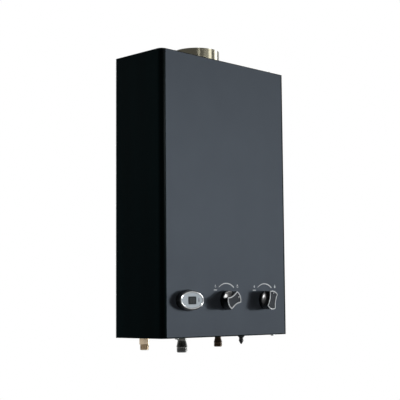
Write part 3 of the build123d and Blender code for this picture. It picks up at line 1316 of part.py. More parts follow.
# Ignition lead: from the module's top round to the spark electrode
lead_depth = strip_front + CERAMIC_FRONT - CERAMIC_RADIUS
ignition_lead = bent_bar(
    [
        (MODULE_PORT_X, -MODULE_PORT_DEPTH, up(MODULE_TOP)),
        (MODULE_PORT_X, -MODULE_PORT_DEPTH, up(STRIP_MIDDLE - LEAD_DROP)),
        (MODULE_PORT_X, -lead_depth, up(STRIP_MIDDLE - LEAD_DROP)),
        (-ELECTRODE_X - LEAD_RISE_OFFSET, -lead_depth, up(STRIP_MIDDLE)),
        (-ELECTRODE_X - CERAMIC_RADIUS - SOCKET_GAP, -lead_depth, up(STRIP_MIDDLE)),
    ],
    LEAD_BEND,
    LEAD_RADIUS,
)
keep(ignition_lead, "ignition_lead")

# Battery box: open below, on the floor sheet, with hinge ears for its lid
with BuildPart() as battery_box:
    with BuildSketch(level(FLOOR_TOP)):
        with Locations((BATTERY_X, -BATTERY_DEPTH)):
            Rectangle(BOX_WIDTH, BOX_LENGTH)
    extrude(amount=BOX_HEIGHT)
    with BuildSketch(level(FLOOR_TOP)):
        with Locations((BATTERY_X, -BATTERY_DEPTH)):
            with GridLocations(BOX_WIDTH + BOX_TAB, 0, 2, 1):
                Rectangle(BOX_TAB, BOX_TAB_WIDTH)
    extrude(amount=BOX_TAB_SHEET)
    with BuildSketch(level(FLOOR_TOP)):
        with Locations((BATTERY_X, -BATTERY_DEPTH)):
            Rectangle(BOX_WIDTH - 2 * BOX_WALL, BOX_LENGTH - 2 * BOX_WALL)
    extrude(amount=BOX_HEIGHT - BOX_WALL, mode=Mode.SUBTRACT)
    with BuildSketch(level(LID_RAISE)):
        with Locations((BATTERY_X, -BOX_REAR)):
            with GridLocations(2 * (HINGE_HALF_LENGTH + LAP_GAP) + HINGE_EAR, 0, 2, 1):
                Rectangle(HINGE_EAR, 2 * HINGE_OFFSET, align=(Align.CENTER, Align.MIN))
    extrude(amount=HINGE_EAR_HEIGHT)
    with BuildSketch(across(BATTERY_X)):
        with Locations((-HINGE_DEPTH, up(HINGE_HEIGHT))):
            Circle(HINGE_PIN_RADIUS + PRESS_GAP)
    extrude(amount=BOX_WIDTH, both=True, mode=Mode.SUBTRACT)
keep(battery_box, "battery_box")

# Battery lid: flush door under the box, with its hinge barrel at the rear
with BuildPart() as battery_lid:
    with BuildSketch(level(LID_RAISE)):
        with Locations((BATTERY_X, -BOX_FRONT)):
            Rectangle(BOX_WIDTH, BOX_LENGTH - LID_CLEARANCE, align=(Align.CENTER, Align.MIN))
        with Locations((BATTERY_X, -HINGE_DEPTH)):
            Rectangle(2 * HINGE_HALF_LENGTH, 2 * HINGE_OFFSET, align=(Align.CENTER, Align.MAX))
    extrude(amount=LID_SHEET)
    with BuildSketch(across(BATTERY_X)):
        with Locations((-HINGE_DEPTH, up(HINGE_HEIGHT))):
            Circle(HINGE_BARREL_RADIUS)
    extrude(amount=HINGE_HALF_LENGTH, both=True)
    with BuildSketch(across(BATTERY_X)):
        with Locations((-HINGE_DEPTH, up(HINGE_HEIGHT))):
            Circle(HINGE_PIN_RADIUS + RUNNING_GAP)
    extrude(amount=HINGE_HALF_LENGTH, both=True, mode=Mode.SUBTRACT)
keep(battery_lid, "battery_lid")

# Lid pin: steel wire through the ears and the barrel
with BuildPart() as lid_pin:
    with BuildSketch(across(BATTERY_X)):
        with Locations((-HINGE_DEPTH, up(HINGE_HEIGHT))):
            Circle(HINGE_PIN_RADIUS)
    extrude(amount=HINGE_HALF_LENGTH + LAP_GAP + HINGE_EAR, both=True)
keep(lid_pin, "lid_pin")

# Batteries: two cells standing in the box
with BuildPart() as batteries:
    for radius, length in (
        (BATTERY_RADIUS, BATTERY_LENGTH),
        (BATTERY_NUB_RADIUS, BATTERY_LENGTH + BATTERY_NUB),
    ):
        with BuildSketch(level(FLOOR_TOP + BOX_HEADROOM)):
            with Locations((BATTERY_X, -BATTERY_DEPTH)):
                with GridLocations(2 * (BATTERY_RADIUS + BATTERY_GAP), 0, 2, 1):
                    Circle(radius)
        extrude(amount=length)
keep(batteries, "batteries")

# Display bezel: tapered black oval with a neck through the front
with BuildPart() as display_bezel:
    for reach, taper in ((0, 0), (BEZEL_REACH, BEZEL_TAPER)):
        with BuildSketch(facing(CASE_DEPTH + reach)):
            with Locations((DISPLAY_X, up(CONTROL_HEIGHT))):
                Ellipse(BEZEL_WIDTH / 2 - taper, BEZEL_HEIGHT / 2 - taper)
    loft(ruled=True)
    with BuildSketch(facing(INNER_DEPTH - NECK_TAIL)):
        with Locations((DISPLAY_X, up(CONTROL_HEIGHT))):
            Ellipse(NECK_WIDTH / 2, NECK_HEIGHT / 2)
    extrude(amount=NECK_TAIL + CASE_DEPTH - INNER_DEPTH)
keep(display_bezel, "display_bezel")

# Display ring: chrome oval round the face
with BuildPart() as display_ring:
    with BuildSketch(facing(CASE_DEPTH + BEZEL_REACH)):
        with Locations((DISPLAY_X, up(CONTROL_HEIGHT))):
            Ellipse(RING_WIDTH / 2, RING_HEIGHT / 2)
            Ellipse(RING_WIDTH / 2 - RING_BAND, RING_HEIGHT / 2 - RING_BAND, mode=Mode.SUBTRACT)
    extrude(amount=RING_SHEET)
    chamfer(display_ring.faces().sort_by(Axis.Y)[0].edges(), RING_EDGE)
keep(display_ring, "display_ring")

# Display plate: silver face inside the ring
with BuildPart() as display_plate:
    with BuildSketch(facing(CASE_DEPTH + BEZEL_REACH)):
        with Locations((DISPLAY_X, up(CONTROL_HEIGHT))):
            Ellipse(
                RING_WIDTH / 2 - RING_BAND - LAP_GAP,
                RING_HEIGHT / 2 - RING_BAND - LAP_GAP,
            )
    extrude(amount=PLATE_SHEET)
keep(display_plate, "display_plate")

# Display window: dark lens over the digits
with BuildPart() as display_window:
    with BuildSketch(facing(CASE_DEPTH + BEZEL_REACH + PLATE_SHEET)):
        with Locations((DISPLAY_X, up(CONTROL_HEIGHT))):
            RectangleRounded(WINDOW_WIDTH, WINDOW_HEIGHT, WINDOW_CORNER)
    extrude(amount=WINDOW_SHEET)
keep(display_window, "display_window")

# Display board: circuit board on the bezel's neck
with BuildPart() as display_board:
    with BuildSketch(facing(INNER_DEPTH - NECK_TAIL)):
        with Locations((DISPLAY_X, up(CONTROL_HEIGHT))):
            Rectangle(BOARD_WIDTH, BOARD_HEIGHT)
    extrude(amount=-BOARD_SHEET)
keep(display_board, "display_board")

# Knobs and spindles: a waisted grip on a round base, keyed to a spindle with a valve plug
grip_corner = KNOB_RADIUS * math.sin(math.radians(GRIP_END_ANGLE))
grip_front = KNOB_REACH - TRIM_HEIGHT
spindle_front = KNOB_GAP + SPINDLE_GRIP
for name, pointer in (("gas", GAS_POINTER), ("water", WATER_POINTER)):
    axis_x = KNOB_AXES[name]

    with BuildPart() as knob:
        with BuildSketch(knob_plane(axis_x, pointer, KNOB_GAP)):
            Circle(KNOB_RADIUS)
        extrude(amount=KNOB_BASE)
        fillet(knob.faces().sort_by(Axis.Y)[0].edges(), KNOB_EDGE)
        with BuildSketch(knob_plane(axis_x, pointer, KNOB_GAP)):
            add(grip_outline(KNOB_RADIUS, grip_corner, GRIP_WAIST / 2))
        extrude(amount=grip_front - KNOB_GAP)
        with BuildSketch(knob_plane(axis_x, pointer, KNOB_GAP)):
            add(spindle_section(SPINDLE_RADIUS + PRESS_GAP))
        extrude(amount=SPINDLE_GRIP + LAP_GAP, mode=Mode.SUBTRACT)
    keep(knob, f"{name}_knob")

    with BuildPart() as knob_trim:
        with BuildSketch(knob_plane(axis_x, pointer, grip_front)):
            add(grip_outline(KNOB_RADIUS, grip_corner, GRIP_WAIST / 2))
            add(
                grip_outline(
                    KNOB_RADIUS - TRIM_WIDTH, grip_corner - TRIM_WIDTH, GRIP_WAIST / 2 - TRIM_WIDTH
                ),
                mode=Mode.SUBTRACT,
            )
        extrude(amount=TRIM_HEIGHT)
    keep(knob_trim, f"{name}_knob_trim")

    inset = TRIM_WIDTH + INSERT_GAP
    with BuildPart() as knob_insert:
        with BuildSketch(knob_plane(axis_x, pointer, grip_front)):
            add(grip_outline(KNOB_RADIUS - inset, grip_corner - inset, GRIP_WAIST / 2 - inset))
        extrude(amount=TRIM_HEIGHT - INSERT_DROP)
    keep(knob_insert, f"{name}_knob_insert")

    with BuildPart() as spindle:
        with BuildSketch(facing(PLUG_REAR + LAP_GAP)):
            with Locations((axis_x, up(CONTROL_HEIGHT))):
                Circle(PLUG_RADIUS)
        extrude(amount=PLUG_LENGTH - 2 * LAP_GAP)
        with BuildSketch(knob_plane(axis_x, pointer, VALVE_BOSS_DEPTH - LAP_GAP - CASE_DEPTH)):
            add(spindle_section(SPINDLE_RADIUS))
        extrude(amount=CASE_DEPTH + spindle_front - VALVE_BOSS_DEPTH + LAP_GAP)
    keep(spindle, f"{name}_spindle")
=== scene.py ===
import json
import math

import bmesh
import bpy
from mathutils import Matrix, Vector


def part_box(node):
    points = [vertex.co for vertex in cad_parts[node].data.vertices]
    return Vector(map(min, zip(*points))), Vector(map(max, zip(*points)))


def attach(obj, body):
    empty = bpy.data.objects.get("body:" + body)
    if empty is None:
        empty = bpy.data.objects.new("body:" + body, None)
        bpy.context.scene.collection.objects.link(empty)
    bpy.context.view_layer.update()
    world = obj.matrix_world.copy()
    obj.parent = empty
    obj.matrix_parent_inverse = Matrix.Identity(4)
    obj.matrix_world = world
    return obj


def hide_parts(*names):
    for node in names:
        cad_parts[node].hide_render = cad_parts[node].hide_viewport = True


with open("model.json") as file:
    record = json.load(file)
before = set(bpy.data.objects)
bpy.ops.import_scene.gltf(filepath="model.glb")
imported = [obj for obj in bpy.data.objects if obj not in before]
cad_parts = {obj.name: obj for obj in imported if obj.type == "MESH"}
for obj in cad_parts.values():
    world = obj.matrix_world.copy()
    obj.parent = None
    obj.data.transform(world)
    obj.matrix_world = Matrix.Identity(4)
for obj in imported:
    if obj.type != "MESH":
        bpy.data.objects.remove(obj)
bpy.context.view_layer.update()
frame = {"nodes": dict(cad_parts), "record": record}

# Units, turns, axes, and the angles in degrees past which an edge stays sharp
MM = 0.001
MERGE_GAP = 0.001 * MM
FACING_FRONT = (math.pi / 2, 0, 0)
LEVEL = (0, 0, 0)
DEPTH_AXIS = 1
HEIGHT_AXIS = 2
SHARP_ANGLE = 35
ROUND_ANGLE = 60

# Printed scales over the knobs, in metres like every size here
SKIN = 0.06 * MM
OFF_MIDDLE = 0.1
ARC_RADIUS = 32.3 * MM
ARC_WIDTH = 1.7 * MM
ARC_TAPER = 1.0 * MM
ARC_HALF_ANGLE = math.radians(40)
ARC_SIDES = 144
MARK_REACH = 30 * MM
MARK_RISE = 25.5 * MM
SMALL_MARK = 1.7 * MM
LARGE_MARK = 2.2 * MM
MARK_SIDES = 24
FLAME_BAND = 0.36
TIP_PULLS = ((0.98, 0.55), (0.90, 0.35), (0.80, 0.3))
DASH_LENGTH = 9 * MM
DASH_WIDTH = 1.8 * MM
DASH_DROP = 6.5 * MM
DASH_SIDES = 16

# Knobs: shoulders as pairs of radius and step from the base's face in millimetres, then the index dots
KNOB_FACE = 9 * MM
SHOULDERS = ((17.4, 1.0), (16.2, 0.05), (14.0, -0.9), (11.5, -1.8), (9.0, -2.4), (6.0, -2.8))
SHOULDER_SIDES = 72
DOT_RADIUS = 1.0 * MM
DOT_REACH = 13.6 * MM
DOT_RISE = 0.15 * MM
DOT_INSET = 0.35 * MM
DOT_CROWN = 0.10 * MM
DOT_SIDES = 32
GAS_POINTER = math.radians(26.4)
WATER_POINTER = math.radians(75.5)

# Display: ring, digits and thermometer sign
RING_BAND = 2.2 * MM
RING_CROWN = 0.2 * MM
RING_STEPS = 8
RING_SIDES = 120
DIGIT_HEIGHT = 7.0 * MM
DIGIT_WIDTH = 3.8 * MM
DIGIT_PITCH = 6.4 * MM
SEGMENT_WIDTH = 0.8 * MM
SEGMENT_GAP = 1.28 * MM
BULB_RADIUS = 1.3 * MM
BULB_TOP = 0.8
STEM_HEIGHT = 4.2 * MM
SIGN_PLACE = 0.42

# Threaded nipples under the floor: G 1/2 for gas and G 3/8 for water
CONNECTION_Y = -50 * MM
CASE_BOTTOM = -460 * MM
BOTTOM_SHEET = 1.0 * MM
NIPPLE_SIDES = 72
THREAD_CHAMFER = 0.8 * MM
TOOTH_SHARE = 0.55
HELIX_STEPS = 40
FLANGE = 4.0 * MM
GAS_PITCH = 1.814 * MM
GAS_THREAD_DEPTH = 1.162 * MM
GAS_CREST = 10.48 * MM
GAS_BORE = 6.0 * MM
GAS_THREAD = 10.0 * MM
GAS_SHOULDER = 11.5 * MM
GAS_NECK_RADIUS = 8.0 * MM
GAS_COLLAR_RADIUS = 9.2 * MM
GAS_COLLAR_DROP = 5.0 * MM
GAS_COLLAR_HEIGHT = 2.0 * MM
WATER_PITCH = 1.337 * MM
WATER_THREAD_DEPTH = 0.856 * MM
WATER_CREST = 8.33 * MM
WATER_BORE = 5.0 * MM
HOT_THREAD = 9.6 * MM
HOT_COLLAR_RADIUS = 9.2 * MM
HOT_FLANGE = 3.0 * MM
HOT_SLEEVE_RADIUS = 8.5 * MM
HOT_SOCKET_RADIUS = 6.1 * MM
HOT_SOCKET_DEPTH = 10.0 * MM
COLD_THREAD = 8.0 * MM
COLD_SHOULDER = 8.0 * MM
COLD_NECK_RADIUS = 6.2 * MM

# Cover screws: the head's rings are shares of its radius and height
HEAD_RADIUS = 3.4 * MM
HEAD_HEIGHT = 2.2 * MM
HEAD_RINGS = ((1, 0), (1, 0.45), (0.93, 0.75), (0.76, 0.94), (0.5, 1))
SHANK_RADIUS = 1.9 * MM
SHANK_LENGTH = 8.0 * MM
SCREW_SIDES = 40
RECESS_LENGTH = 3.8 * MM
RECESS_WIDTH = 0.9 * MM
RECESS_DEPTH = 1.3 * MM

# Finger ribs on the battery lid
RIB_COUNT = 4
RIB_LENGTH = 26 * MM
RIB_WIDTH = 1.2 * MM
RIB_HEIGHT = 0.5 * MM
RIB_PITCH = 3.2 * MM
RIB_INSET = 6 * MM
RIB_ROUND = 0.42 * MM
RIB_ROUND_STEPS = 3

# Lap seam and spot welds on the flue collar
SEAM_WIDTH = 9 * MM
SEAM_SHEET = 0.4 * MM
SEAM_MARGIN = 1.0 * MM
SEAM_STEPS = 10
WELD_COUNT = 4
WELD_RADIUS = 1.3 * MM
WELD_HEIGHT = 0.3 * MM
WELD_INSET = 0.39 * MM
WELD_DIMPLE = 0.15 * MM
WELD_SIDES = 24

# Finishes: noise detail, then worn edges by width, the cosines where wear begins and is full, and its cover
PATCH_DETAIL = 3.0
GRAIN_DETAIL = 2.0
EDGE_WIDTH = 0.8 * MM
EDGE_SAMPLES = 4
EDGE_START = 0.985
EDGE_FULL = 0.80
EDGE_COVER = 0.8

# Camera at the photograph's place: found from the casing's corners, in metres, degrees and millimetres
CAMERA_PLACE = Vector((-1.4203, -1.4516, -0.4003))
CAMERA_AZIMUTH = math.radians(-45.41)
CAMERA_ELEVATION = math.radians(-5.76)
CAMERA_ROLL = math.radians(-0.46)
CAMERA_LENS = 93.15
SENSOR_WIDTH = 36.0

# Floor and world: metres, and shares of white
FLOOR_SIZE = 7
FLOOR_Z = -1.6
FLOOR_GRAIN = 3.0
FLOOR_GLOW = 0.8
SOFT_LIGHT = 0.025
WHITE = (1, 1, 1, 1)

# Lamps: bearings in degrees from the front towards the right, metres, watts, and spreads in degrees
CONTROLS_Z = -0.39
KEY_BEARING = 63
KEY_DISTANCE = 8.0
KEY_RISE = 0.2
KEY_SIZE = 3.0
KEY_POWER = 27
KEY_SPREAD = 25
CORE_AIM_X = -0.3
CORE_AIM_Z = -0.23
CORE_SIZE = 0.3
CORE_POWER = 1.5
CORE_SPREAD = 9
GRID_SPREAD = 50
OPEN_SPREAD = 180
REAR_BEARING = 145
REAR_DISTANCE = 2.7
REAR_RISE = 0.8
REAR_SIZE = 0.9
REAR_POWER = 3.5
UPRIGHT_Y = -0.06
UPRIGHT_LAMPS = (("above", 2.4, 0.8, 2), ("floor_bounce", -1.55, 1.2, 1))

# Strips that only gloss shows: bearing, level distance, rise, width, height, and radiance where white is 1
FLUE_STRIPS = (("narrow_strip", -31.5, 0.035), ("middle_strip", 27, 0.17), ("outer_strip", 68, 0.23))
FLUE_STRIP_DISTANCE = 0.6
FLUE_STRIP_RISE = 0.15
FLUE_STRIP_HEIGHT = 0.20
FLUE_STRIP_RADIANCE = 16
RIGHT_STRIP = (66, 1.2, 0.33, 0.3, 0.35, 12)
FITTING_STRIP = (72, 0.5, -0.01, 0.3, 0.1, 12)
FRONT_BOX = (5, 1.0, 0.45, 0.46, 0.3, 45)


# Materials
def linear(hex_colour):
    """sRGB hex to the linear colour that shaders take."""
    channels = [int(hex_colour[i:i + 2], 16) / 255 for i in (1, 3, 5)]
    return tuple(c / 12.92 if c <= 0.04045 else ((c + 0.055) / 1.055) ** 2.4 for c in channels) + (1.0,)


def add(tree, kind, inputs, **settings):
    """Adds a node, sets its properties, and fills or links its inputs by name or number."""
    made = tree.nodes.new("ShaderNode" + kind)
    for key, value in settings.items():
        setattr(made, key, value)
    for key, value in inputs.items():
        if isinstance(value, bpy.types.NodeSocket):
            tree.links.new(value, made.inputs[key])
        else:
            made.inputs[key].default_value = value
    return made


def surface(
    name, colour, deep, rough, patch, grain, relief,
    stretch=(1, 1, 1), metallic=0.0, specular=0.5, edge=None, rough_swing=0.08,
):
    """A finish whose colour drifts in patches and whose grain gives gloss and relief, sized in millimetres.

    The edge colour is where handling has worn or thinned the finish along sharp edges."""
    material = bpy.data.materials.new(name)
    material.use_nodes = True
    tree = material.node_tree
    tree.nodes.clear()
    place = add(tree, "TexCoord", {}).outputs["Object"]
    place = add(tree, "Mapping", {"Vector": place, "Scale": stretch}).outputs["Vector"]
    drift = add(tree, "TexNoise", {"Vector": place, "Scale": 1 / (patch * MM), "Detail": PATCH_DETAIL})
    fine = add(tree, "TexNoise", {"Vector": place, "Scale": 1 / (grain * MM), "Detail": GRAIN_DETAIL})
    mottle = add(tree, "Mix", {0: drift.outputs["Fac"], 6: linear(deep), 7: linear(colour)}, data_type="RGBA")
    shade = mottle.outputs[2]
    if edge:
        round_normal = add(tree, "Bevel", {"Radius": EDGE_WIDTH}, samples=EDGE_SAMPLES)
        true_normal = add(tree, "NewGeometry", {}).outputs["Normal"]
        turned_away = add(
            tree, "VectorMath", {0: round_normal.outputs["Normal"], 1: true_normal}, operation="DOT_PRODUCT"
        )
        worn = add(
            tree, "MapRange",
            {
                "Value": turned_away.outputs["Value"],
                "From Min": EDGE_START, "From Max": EDGE_FULL, "To Max": EDGE_COVER,
            },
        )
        broken = add(tree, "Math", {0: worn.outputs[0], 1: fine.outputs["Fac"]}, operation="MULTIPLY")
        shade = add(
            tree, "Mix", {0: broken.outputs[0], 6: shade, 7: linear(edge)}, data_type="RGBA"
        ).outputs[2]
    gloss = add(
        tree, "MapRange",
        {"Value": fine.outputs["Fac"], "To Min": rough - rough_swing, "To Max": rough + rough_swing},
    )
    bump = add(tree, "Bump", {"Height": fine.outputs["Fac"], "Strength": 1.0, "Distance": relief * MM})
    shader = add(
        tree, "BsdfPrincipled",
        {
            "Base Color": shade, "Roughness": gloss.outputs[0], "Normal": bump.outputs["Normal"],
            "Metallic": metallic, "Specular IOR Level": specular,
        },
    )
    add(tree, "OutputMaterial", {"Surface": shader.outputs["BSDF"]})
    return material


# Powder coat on sheet steel: flat and even, with the faint orange peel of a baked powder
graphite_powder = surface(
    "graphite_powder_coat", "#545b63", "#4f555d", rough=0.78, patch=60, grain=1.4, relief=0.02,
    specular=0.008, edge="#687077",
)
# Black enamel on sheet steel: deep and smooth; its faint green blue cast in upright bands is a painted
# reflection
black_enamel = surface(
    "black_enamel_on_steel", "#08181a", "#030405", rough=0.32, patch=45, grain=3.0, relief=0.004,
    stretch=(1, 1, 0.05), specular=0.008, edge="#1a2224", rough_swing=0.03,
)
# Galvanised sheet: grey zinc with soft spangle, drawn at its real crystal size
galvanised = surface(
    "galvanised_sheet", "#b3b7b8", "#8f9597", rough=0.38, patch=9, grain=2.5, relief=0.01,
    metallic=0.9, edge="#cfd3d4",
)
# Rolled stainless strip: brushed round the tube, drawn coarser than real so that it shows; its dark warm grey
# is a painted reflection of dark surroundings
rolled_stainless = surface(
    "rolled_stainless", "#4e4c42", "#3a3830", rough=0.2, patch=40, grain=1.2, relief=0.012,
    stretch=(0.03, 0.03, 1), metallic=1.0, edge="#a5a392",
)
# Zinc plated steel: bluish bright screws and brackets
zinc_plate = surface(
    "zinc_plated_steel", "#b4b8b8", "#999ea0", rough=0.3, patch=6, grain=1.0, relief=0.008, metallic=1.0
)
# Drawn copper: pinkish, dulled in patches by heat
drawn_copper = surface(
    "drawn_copper", "#b87333", "#8f5a35", rough=0.32, patch=14, grain=1.5, relief=0.008, metallic=1.0
)
# Turned brass: pale yellow with fine tool rings, drawn coarser than real so that they show
turned_brass = surface(
    "turned_brass", "#c4b39a", "#a4927a", rough=0.3, patch=10, grain=0.8, relief=0.015,
    stretch=(0.05, 0.05, 1), metallic=1.0, edge="#dcc9a0",
)
# Nickel plated brass: patchy, bright on its edges, with tool rings under the plating; its dark tone is
# painted shade for the dark underside it mirrors
nickel_plate = surface(
    "nickel_plated_brass", "#565754", "#232423", rough=0.2, patch=8, grain=0.8, relief=0.01,
    stretch=(0.05, 0.05, 1), metallic=1.0, edge="#c5c6c4",
)
# Brass darkened to brown black as painted shade, rubbed to lighter metal on its edges
brass_in_painted_shade = surface(
    "brass_painted_in_shade", "#3f352c", "#211c17", rough=0.34, patch=8, grain=0.8, relief=0.012,
    stretch=(0.05, 0.05, 1), metallic=1.0, edge="#8d7a62",
)
# Die cast aluminium: matt grey with a fine cast skin
cast_aluminium = surface(
    "die_cast_aluminium", "#a6a8a9", "#8b8e90", rough=0.5, patch=12, grain=0.8, relief=0.02, metallic=0.9
)
# Satin silver lacquer on a moulded plate: even, with a soft drawn grain across it
satin_silver = surface(
    "satin_silver_lacquer", "#868d92", "#767d82", rough=0.4, patch=20, grain=0.7, relief=0.006,
    stretch=(0.06, 1, 1), metallic=0.75,
)
# Chrome plated plastic: mirror bright, with the slight waviness of the moulding under it
plastic_chrome = surface(
    "chrome_plated_plastic", "#b9bcbd", "#a8abad", rough=0.12, patch=12, grain=4, relief=0.004,
    metallic=1.0, rough_swing=0.03,
)
# Silver paint on moulded plastic: bright outline round the grip
silver_paint = surface(
    "silver_painted_plastic", "#a6a9ab", "#929597", rough=0.32, patch=8, grain=0.8, relief=0.006, metallic=0.7
)
# Black ABS: moulded, with a fine spark eroded texture that breaks its highlights
black_abs = surface(
    "moulded_black_abs", "#15181b", "#0e1012", rough=0.25, patch=20, grain=0.6, relief=0.006,
    edge="#2c2f32", rough_swing=0.05,
)
# Dark grey textured plastic: pebbled face of the grips
pebbled_grey = surface(
    "pebbled_grey_plastic", "#282d33", "#1a1e23", rough=0.6, patch=2.0, grain=0.9, relief=0.05, specular=0.1
)
# Display lens: smoked acrylic over an unlit liquid crystal
smoked_acrylic = surface(
    "smoked_acrylic_lens", "#252a2d", "#171b1d", rough=0.16, patch=14, grain=1.6, relief=0.001,
    stretch=(0.05, 1, 1), specular=0.2,
)
# Liquid crystal segments at rest: a shade lighter than the lens
resting_crystal = surface(
    "resting_liquid_crystal", "#353c40", "#2f3538", rough=0.25, patch=6, grain=1.0, relief=0.001
)
# Screen printed ink: pale grey, thin, with slightly uneven cover
printed_ink = surface(
    "screen_printed_ink", "#b4b8bb", "#a3a8ab", rough=0.5, patch=5, grain=0.6, relief=0.006
)
# White index paint: filled dot on the grip
index_white = surface(
    "white_index_paint", "#eceeee", "#d8dadb", rough=0.4, patch=4, grain=0.5, relief=0.004
)
# Dark printed mark on the silver plate
dark_ink = surface(
    "dark_printed_ink", "#1d1f21", "#141617", rough=0.45, patch=4, grain=0.5, relief=0.004, specular=0.2
)
# Moulded rubber: dull black
seal_rubber = surface(
    "moulded_rubber", "#1d1d1d", "#141414", rough=0.75, patch=8, grain=0.8, relief=0.02, specular=0.3
)
# Silicone sleeve on the ignition lead: dull red
silicone_sleeve = surface(
    "silicone_sleeve", "#9c3a2a", "#84301f", rough=0.55, patch=10, grain=1.0, relief=0.01
)
# Painted coil can: dark blue enamel
can_enamel = surface("coil_can_enamel", "#2a3a55", "#22304a", rough=0.4, patch=10, grain=1.2, relief=0.008)
# Phenolic moulding: brown and slightly grainy
brown_phenolic = surface("brown_phenolic", "#3a2a22", "#2b1f19", rough=0.5, patch=6, grain=0.8, relief=0.02)
# Glazed alumina: off white insulators
white_alumina = surface("glazed_alumina", "#e6e1d6", "#d9d3c5", rough=0.3, patch=8, grain=1.0, relief=0.006)
# Fibreglass board with green solder mask
solder_mask = surface("green_solder_mask", "#1f5a34", "#184a2a", rough=0.35, patch=5, grain=0.8, relief=0.008)
# Printed film on the cells: dark with a slight wrinkle
cell_film = surface("printed_cell_film", "#30343a", "#282b30", rough=0.35, patch=12, grain=2.0, relief=0.02)

FINISH = {
    "black_paint": black_enamel, "graphite_coat": graphite_powder, "galvanised_sheet": galvanised,
    "stainless": rolled_stainless, "bright_steel": zinc_plate, "copper": drawn_copper, "brass": turned_brass,
    "plated_brass": nickel_plate, "dark_bronze": brass_in_painted_shade, "cast_aluminium": cast_aluminium,
    "silver_plate": satin_silver, "chrome_ring": plastic_chrome, "silver_trim": silver_paint,
    "black_plastic": black_abs, "insert_grey": pebbled_grey, "lens": smoked_acrylic, "rubber": seal_rubber,
    "lead_sleeve": silicone_sleeve, "coil_can": can_enamel, "phenolic": brown_phenolic,
    "ceramic": white_alumina, "circuit_board": solder_mask, "cell_wrap": cell_film,
}
for subpart in frame["record"]["subparts"]:
    mesh = frame["nodes"][subpart["node"]].data
    mesh.materials.clear()
    mesh.materials.append(FINISH[subpart["material_slot"]])


# Modelling by hand
def begin():
    """Nothing selected, in object mode."""
    if bpy.context.object and bpy.context.object.mode != "OBJECT":
        bpy.ops.object.mode_set(mode="OBJECT")
    bpy.ops.object.select_all(action="DESELECT")


def choose(*pieces):
    """Selects these pieces alone, with the first of them active."""
    begin()
    for piece in pieces:
        piece.select_set(True)
    bpy.context.view_layer.objects.active = pieces[0]


def settle():
    """Puts the place, turn and scale of what is selected into its mesh."""
    bpy.ops.object.transform_apply(location=True, rotation=True, scale=True)


def edit_all():
    """Into edit mode with every vertex selected."""
    bpy.ops.object.mode_set(mode="EDIT")
    bpy.ops.mesh.select_mode(type="VERT")
    bpy.ops.mesh.select_all(action="SELECT")


def pull(test, move):
    """Moves the vertices of the piece in edit mode whose own place passes the test."""
    piece = bpy.context.object
    mesh = bmesh.from_edit_mesh(piece.data)
    for vertex in mesh.verts:
        vertex.select = test(vertex.co)
    mesh.select_flush_mode()
    bmesh.update_edit_mesh(piece.data)
    bpy.ops.transform.translate(value=move)


def close_up():
    """Merges doubles, turns faces outwards and leaves edit mode."""
    bpy.ops.mesh.select_all(action="SELECT")
    bpy.ops.mesh.remove_doubles(threshold=MERGE_GAP)
    bpy.ops.mesh.normals_make_consistent(inside=False)
    bpy.ops.object.mode_set(mode="OBJECT")


def gather(pieces):
    """Joins pieces into the first of them."""
    choose(*pieces)
    if len(pieces) > 1:
        bpy.ops.object.join()
    return pieces[0]


def place_piece(piece, name, body, slot, material, *replaced, angle=SHARP_ANGLE):
    """Puts the place into the mesh, and names, smooths, colours and mounts the piece."""
    choose(piece)
    settle()
    bpy.ops.object.shade_smooth_by_angle(angle=math.radians(angle))
    piece.name = name
    piece.data.name = name
    piece.data.materials.clear()
    piece.data.materials.append(material)
    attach(piece, body)
    if replaced:
        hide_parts(*replaced)


def copy_of(piece, move):
    """A copy with its own mesh, moved by a vector."""
    choose(piece)
    bpy.ops.object.duplicate(linked=False)
    bpy.ops.transform.translate(value=move)
    settle()
    return bpy.context.object


def circle(place, radius, sides, filled=True, turn=FACING_FRONT):
    """A filled disc or an open ring of edges, in edit mode and selected."""
    begin()
    bpy.ops.mesh.primitive_circle_add(
        vertices=sides, radius=radius, fill_type="NGON" if filled else "NOTHING",
        location=place, rotation=turn,
    )
    settle()
    edit_all()
    return bpy.context.object


def draw_through(extrude, profile, axis, centre):
    """Draws the selection through pairs of radius and place along an axis, from the first pair on."""
    for (radius, place), (next_radius, next_place) in zip(profile, profile[1:]):
        move = [0, 0, 0]
        move[axis] = next_place - place
        extrude(TRANSFORM_OT_translate={"value": move})
        scale = [next_radius / radius] * 3
        scale[axis] = 1
        pivot = list(centre)
        pivot[axis] = next_place
        bpy.ops.transform.resize(value=scale, center_override=pivot)


def thicken(depth):
    """Draws a flat shape out towards the front, closed at the back, and leaves edit mode."""
    bpy.ops.mesh.select_all(action="SELECT")
    bpy.ops.mesh.extrude_region_move(TRANSFORM_OT_translate={"value": (0, -depth, 0)})
    close_up()


def stud(rise, inset, middle):
    """Draws the selected disc out along the depth, moves its middle on or back, and leaves edit mode."""
    bpy.ops.mesh.extrude_region_move(TRANSFORM_OT_translate={"value": (0, rise, 0)})
    bpy.ops.mesh.inset(thickness=inset)
    bpy.ops.transform.translate(value=(0, middle, 0))
    close_up()


def tapered_arc(x, y, z):
    """A printed arc over a knob that widens from left to right."""
    arc = circle((x, y, z), ARC_RADIUS, ARC_SIDES, filled=False)
    bpy.ops.mesh.extrude_edges_move(TRANSFORM_OT_translate={"value": (-ARC_TAPER, 0, 0)})
    shrink = 1 - ARC_WIDTH / ARC_RADIUS
    bpy.ops.transform.resize(value=(shrink, 1, shrink), center_override=(x - ARC_TAPER, y, z))
    for side in (-1, 1):
        bpy.ops.mesh.select_all(action="SELECT")
        bpy.ops.mesh.bisect(
            plane_co=(x, y, z),
            plane_no=(side * math.cos(ARC_HALF_ANGLE), 0, -math.sin(ARC_HALF_ANGLE)),
            clear_outer=True,
        )
    thicken(SKIN)
    return arc


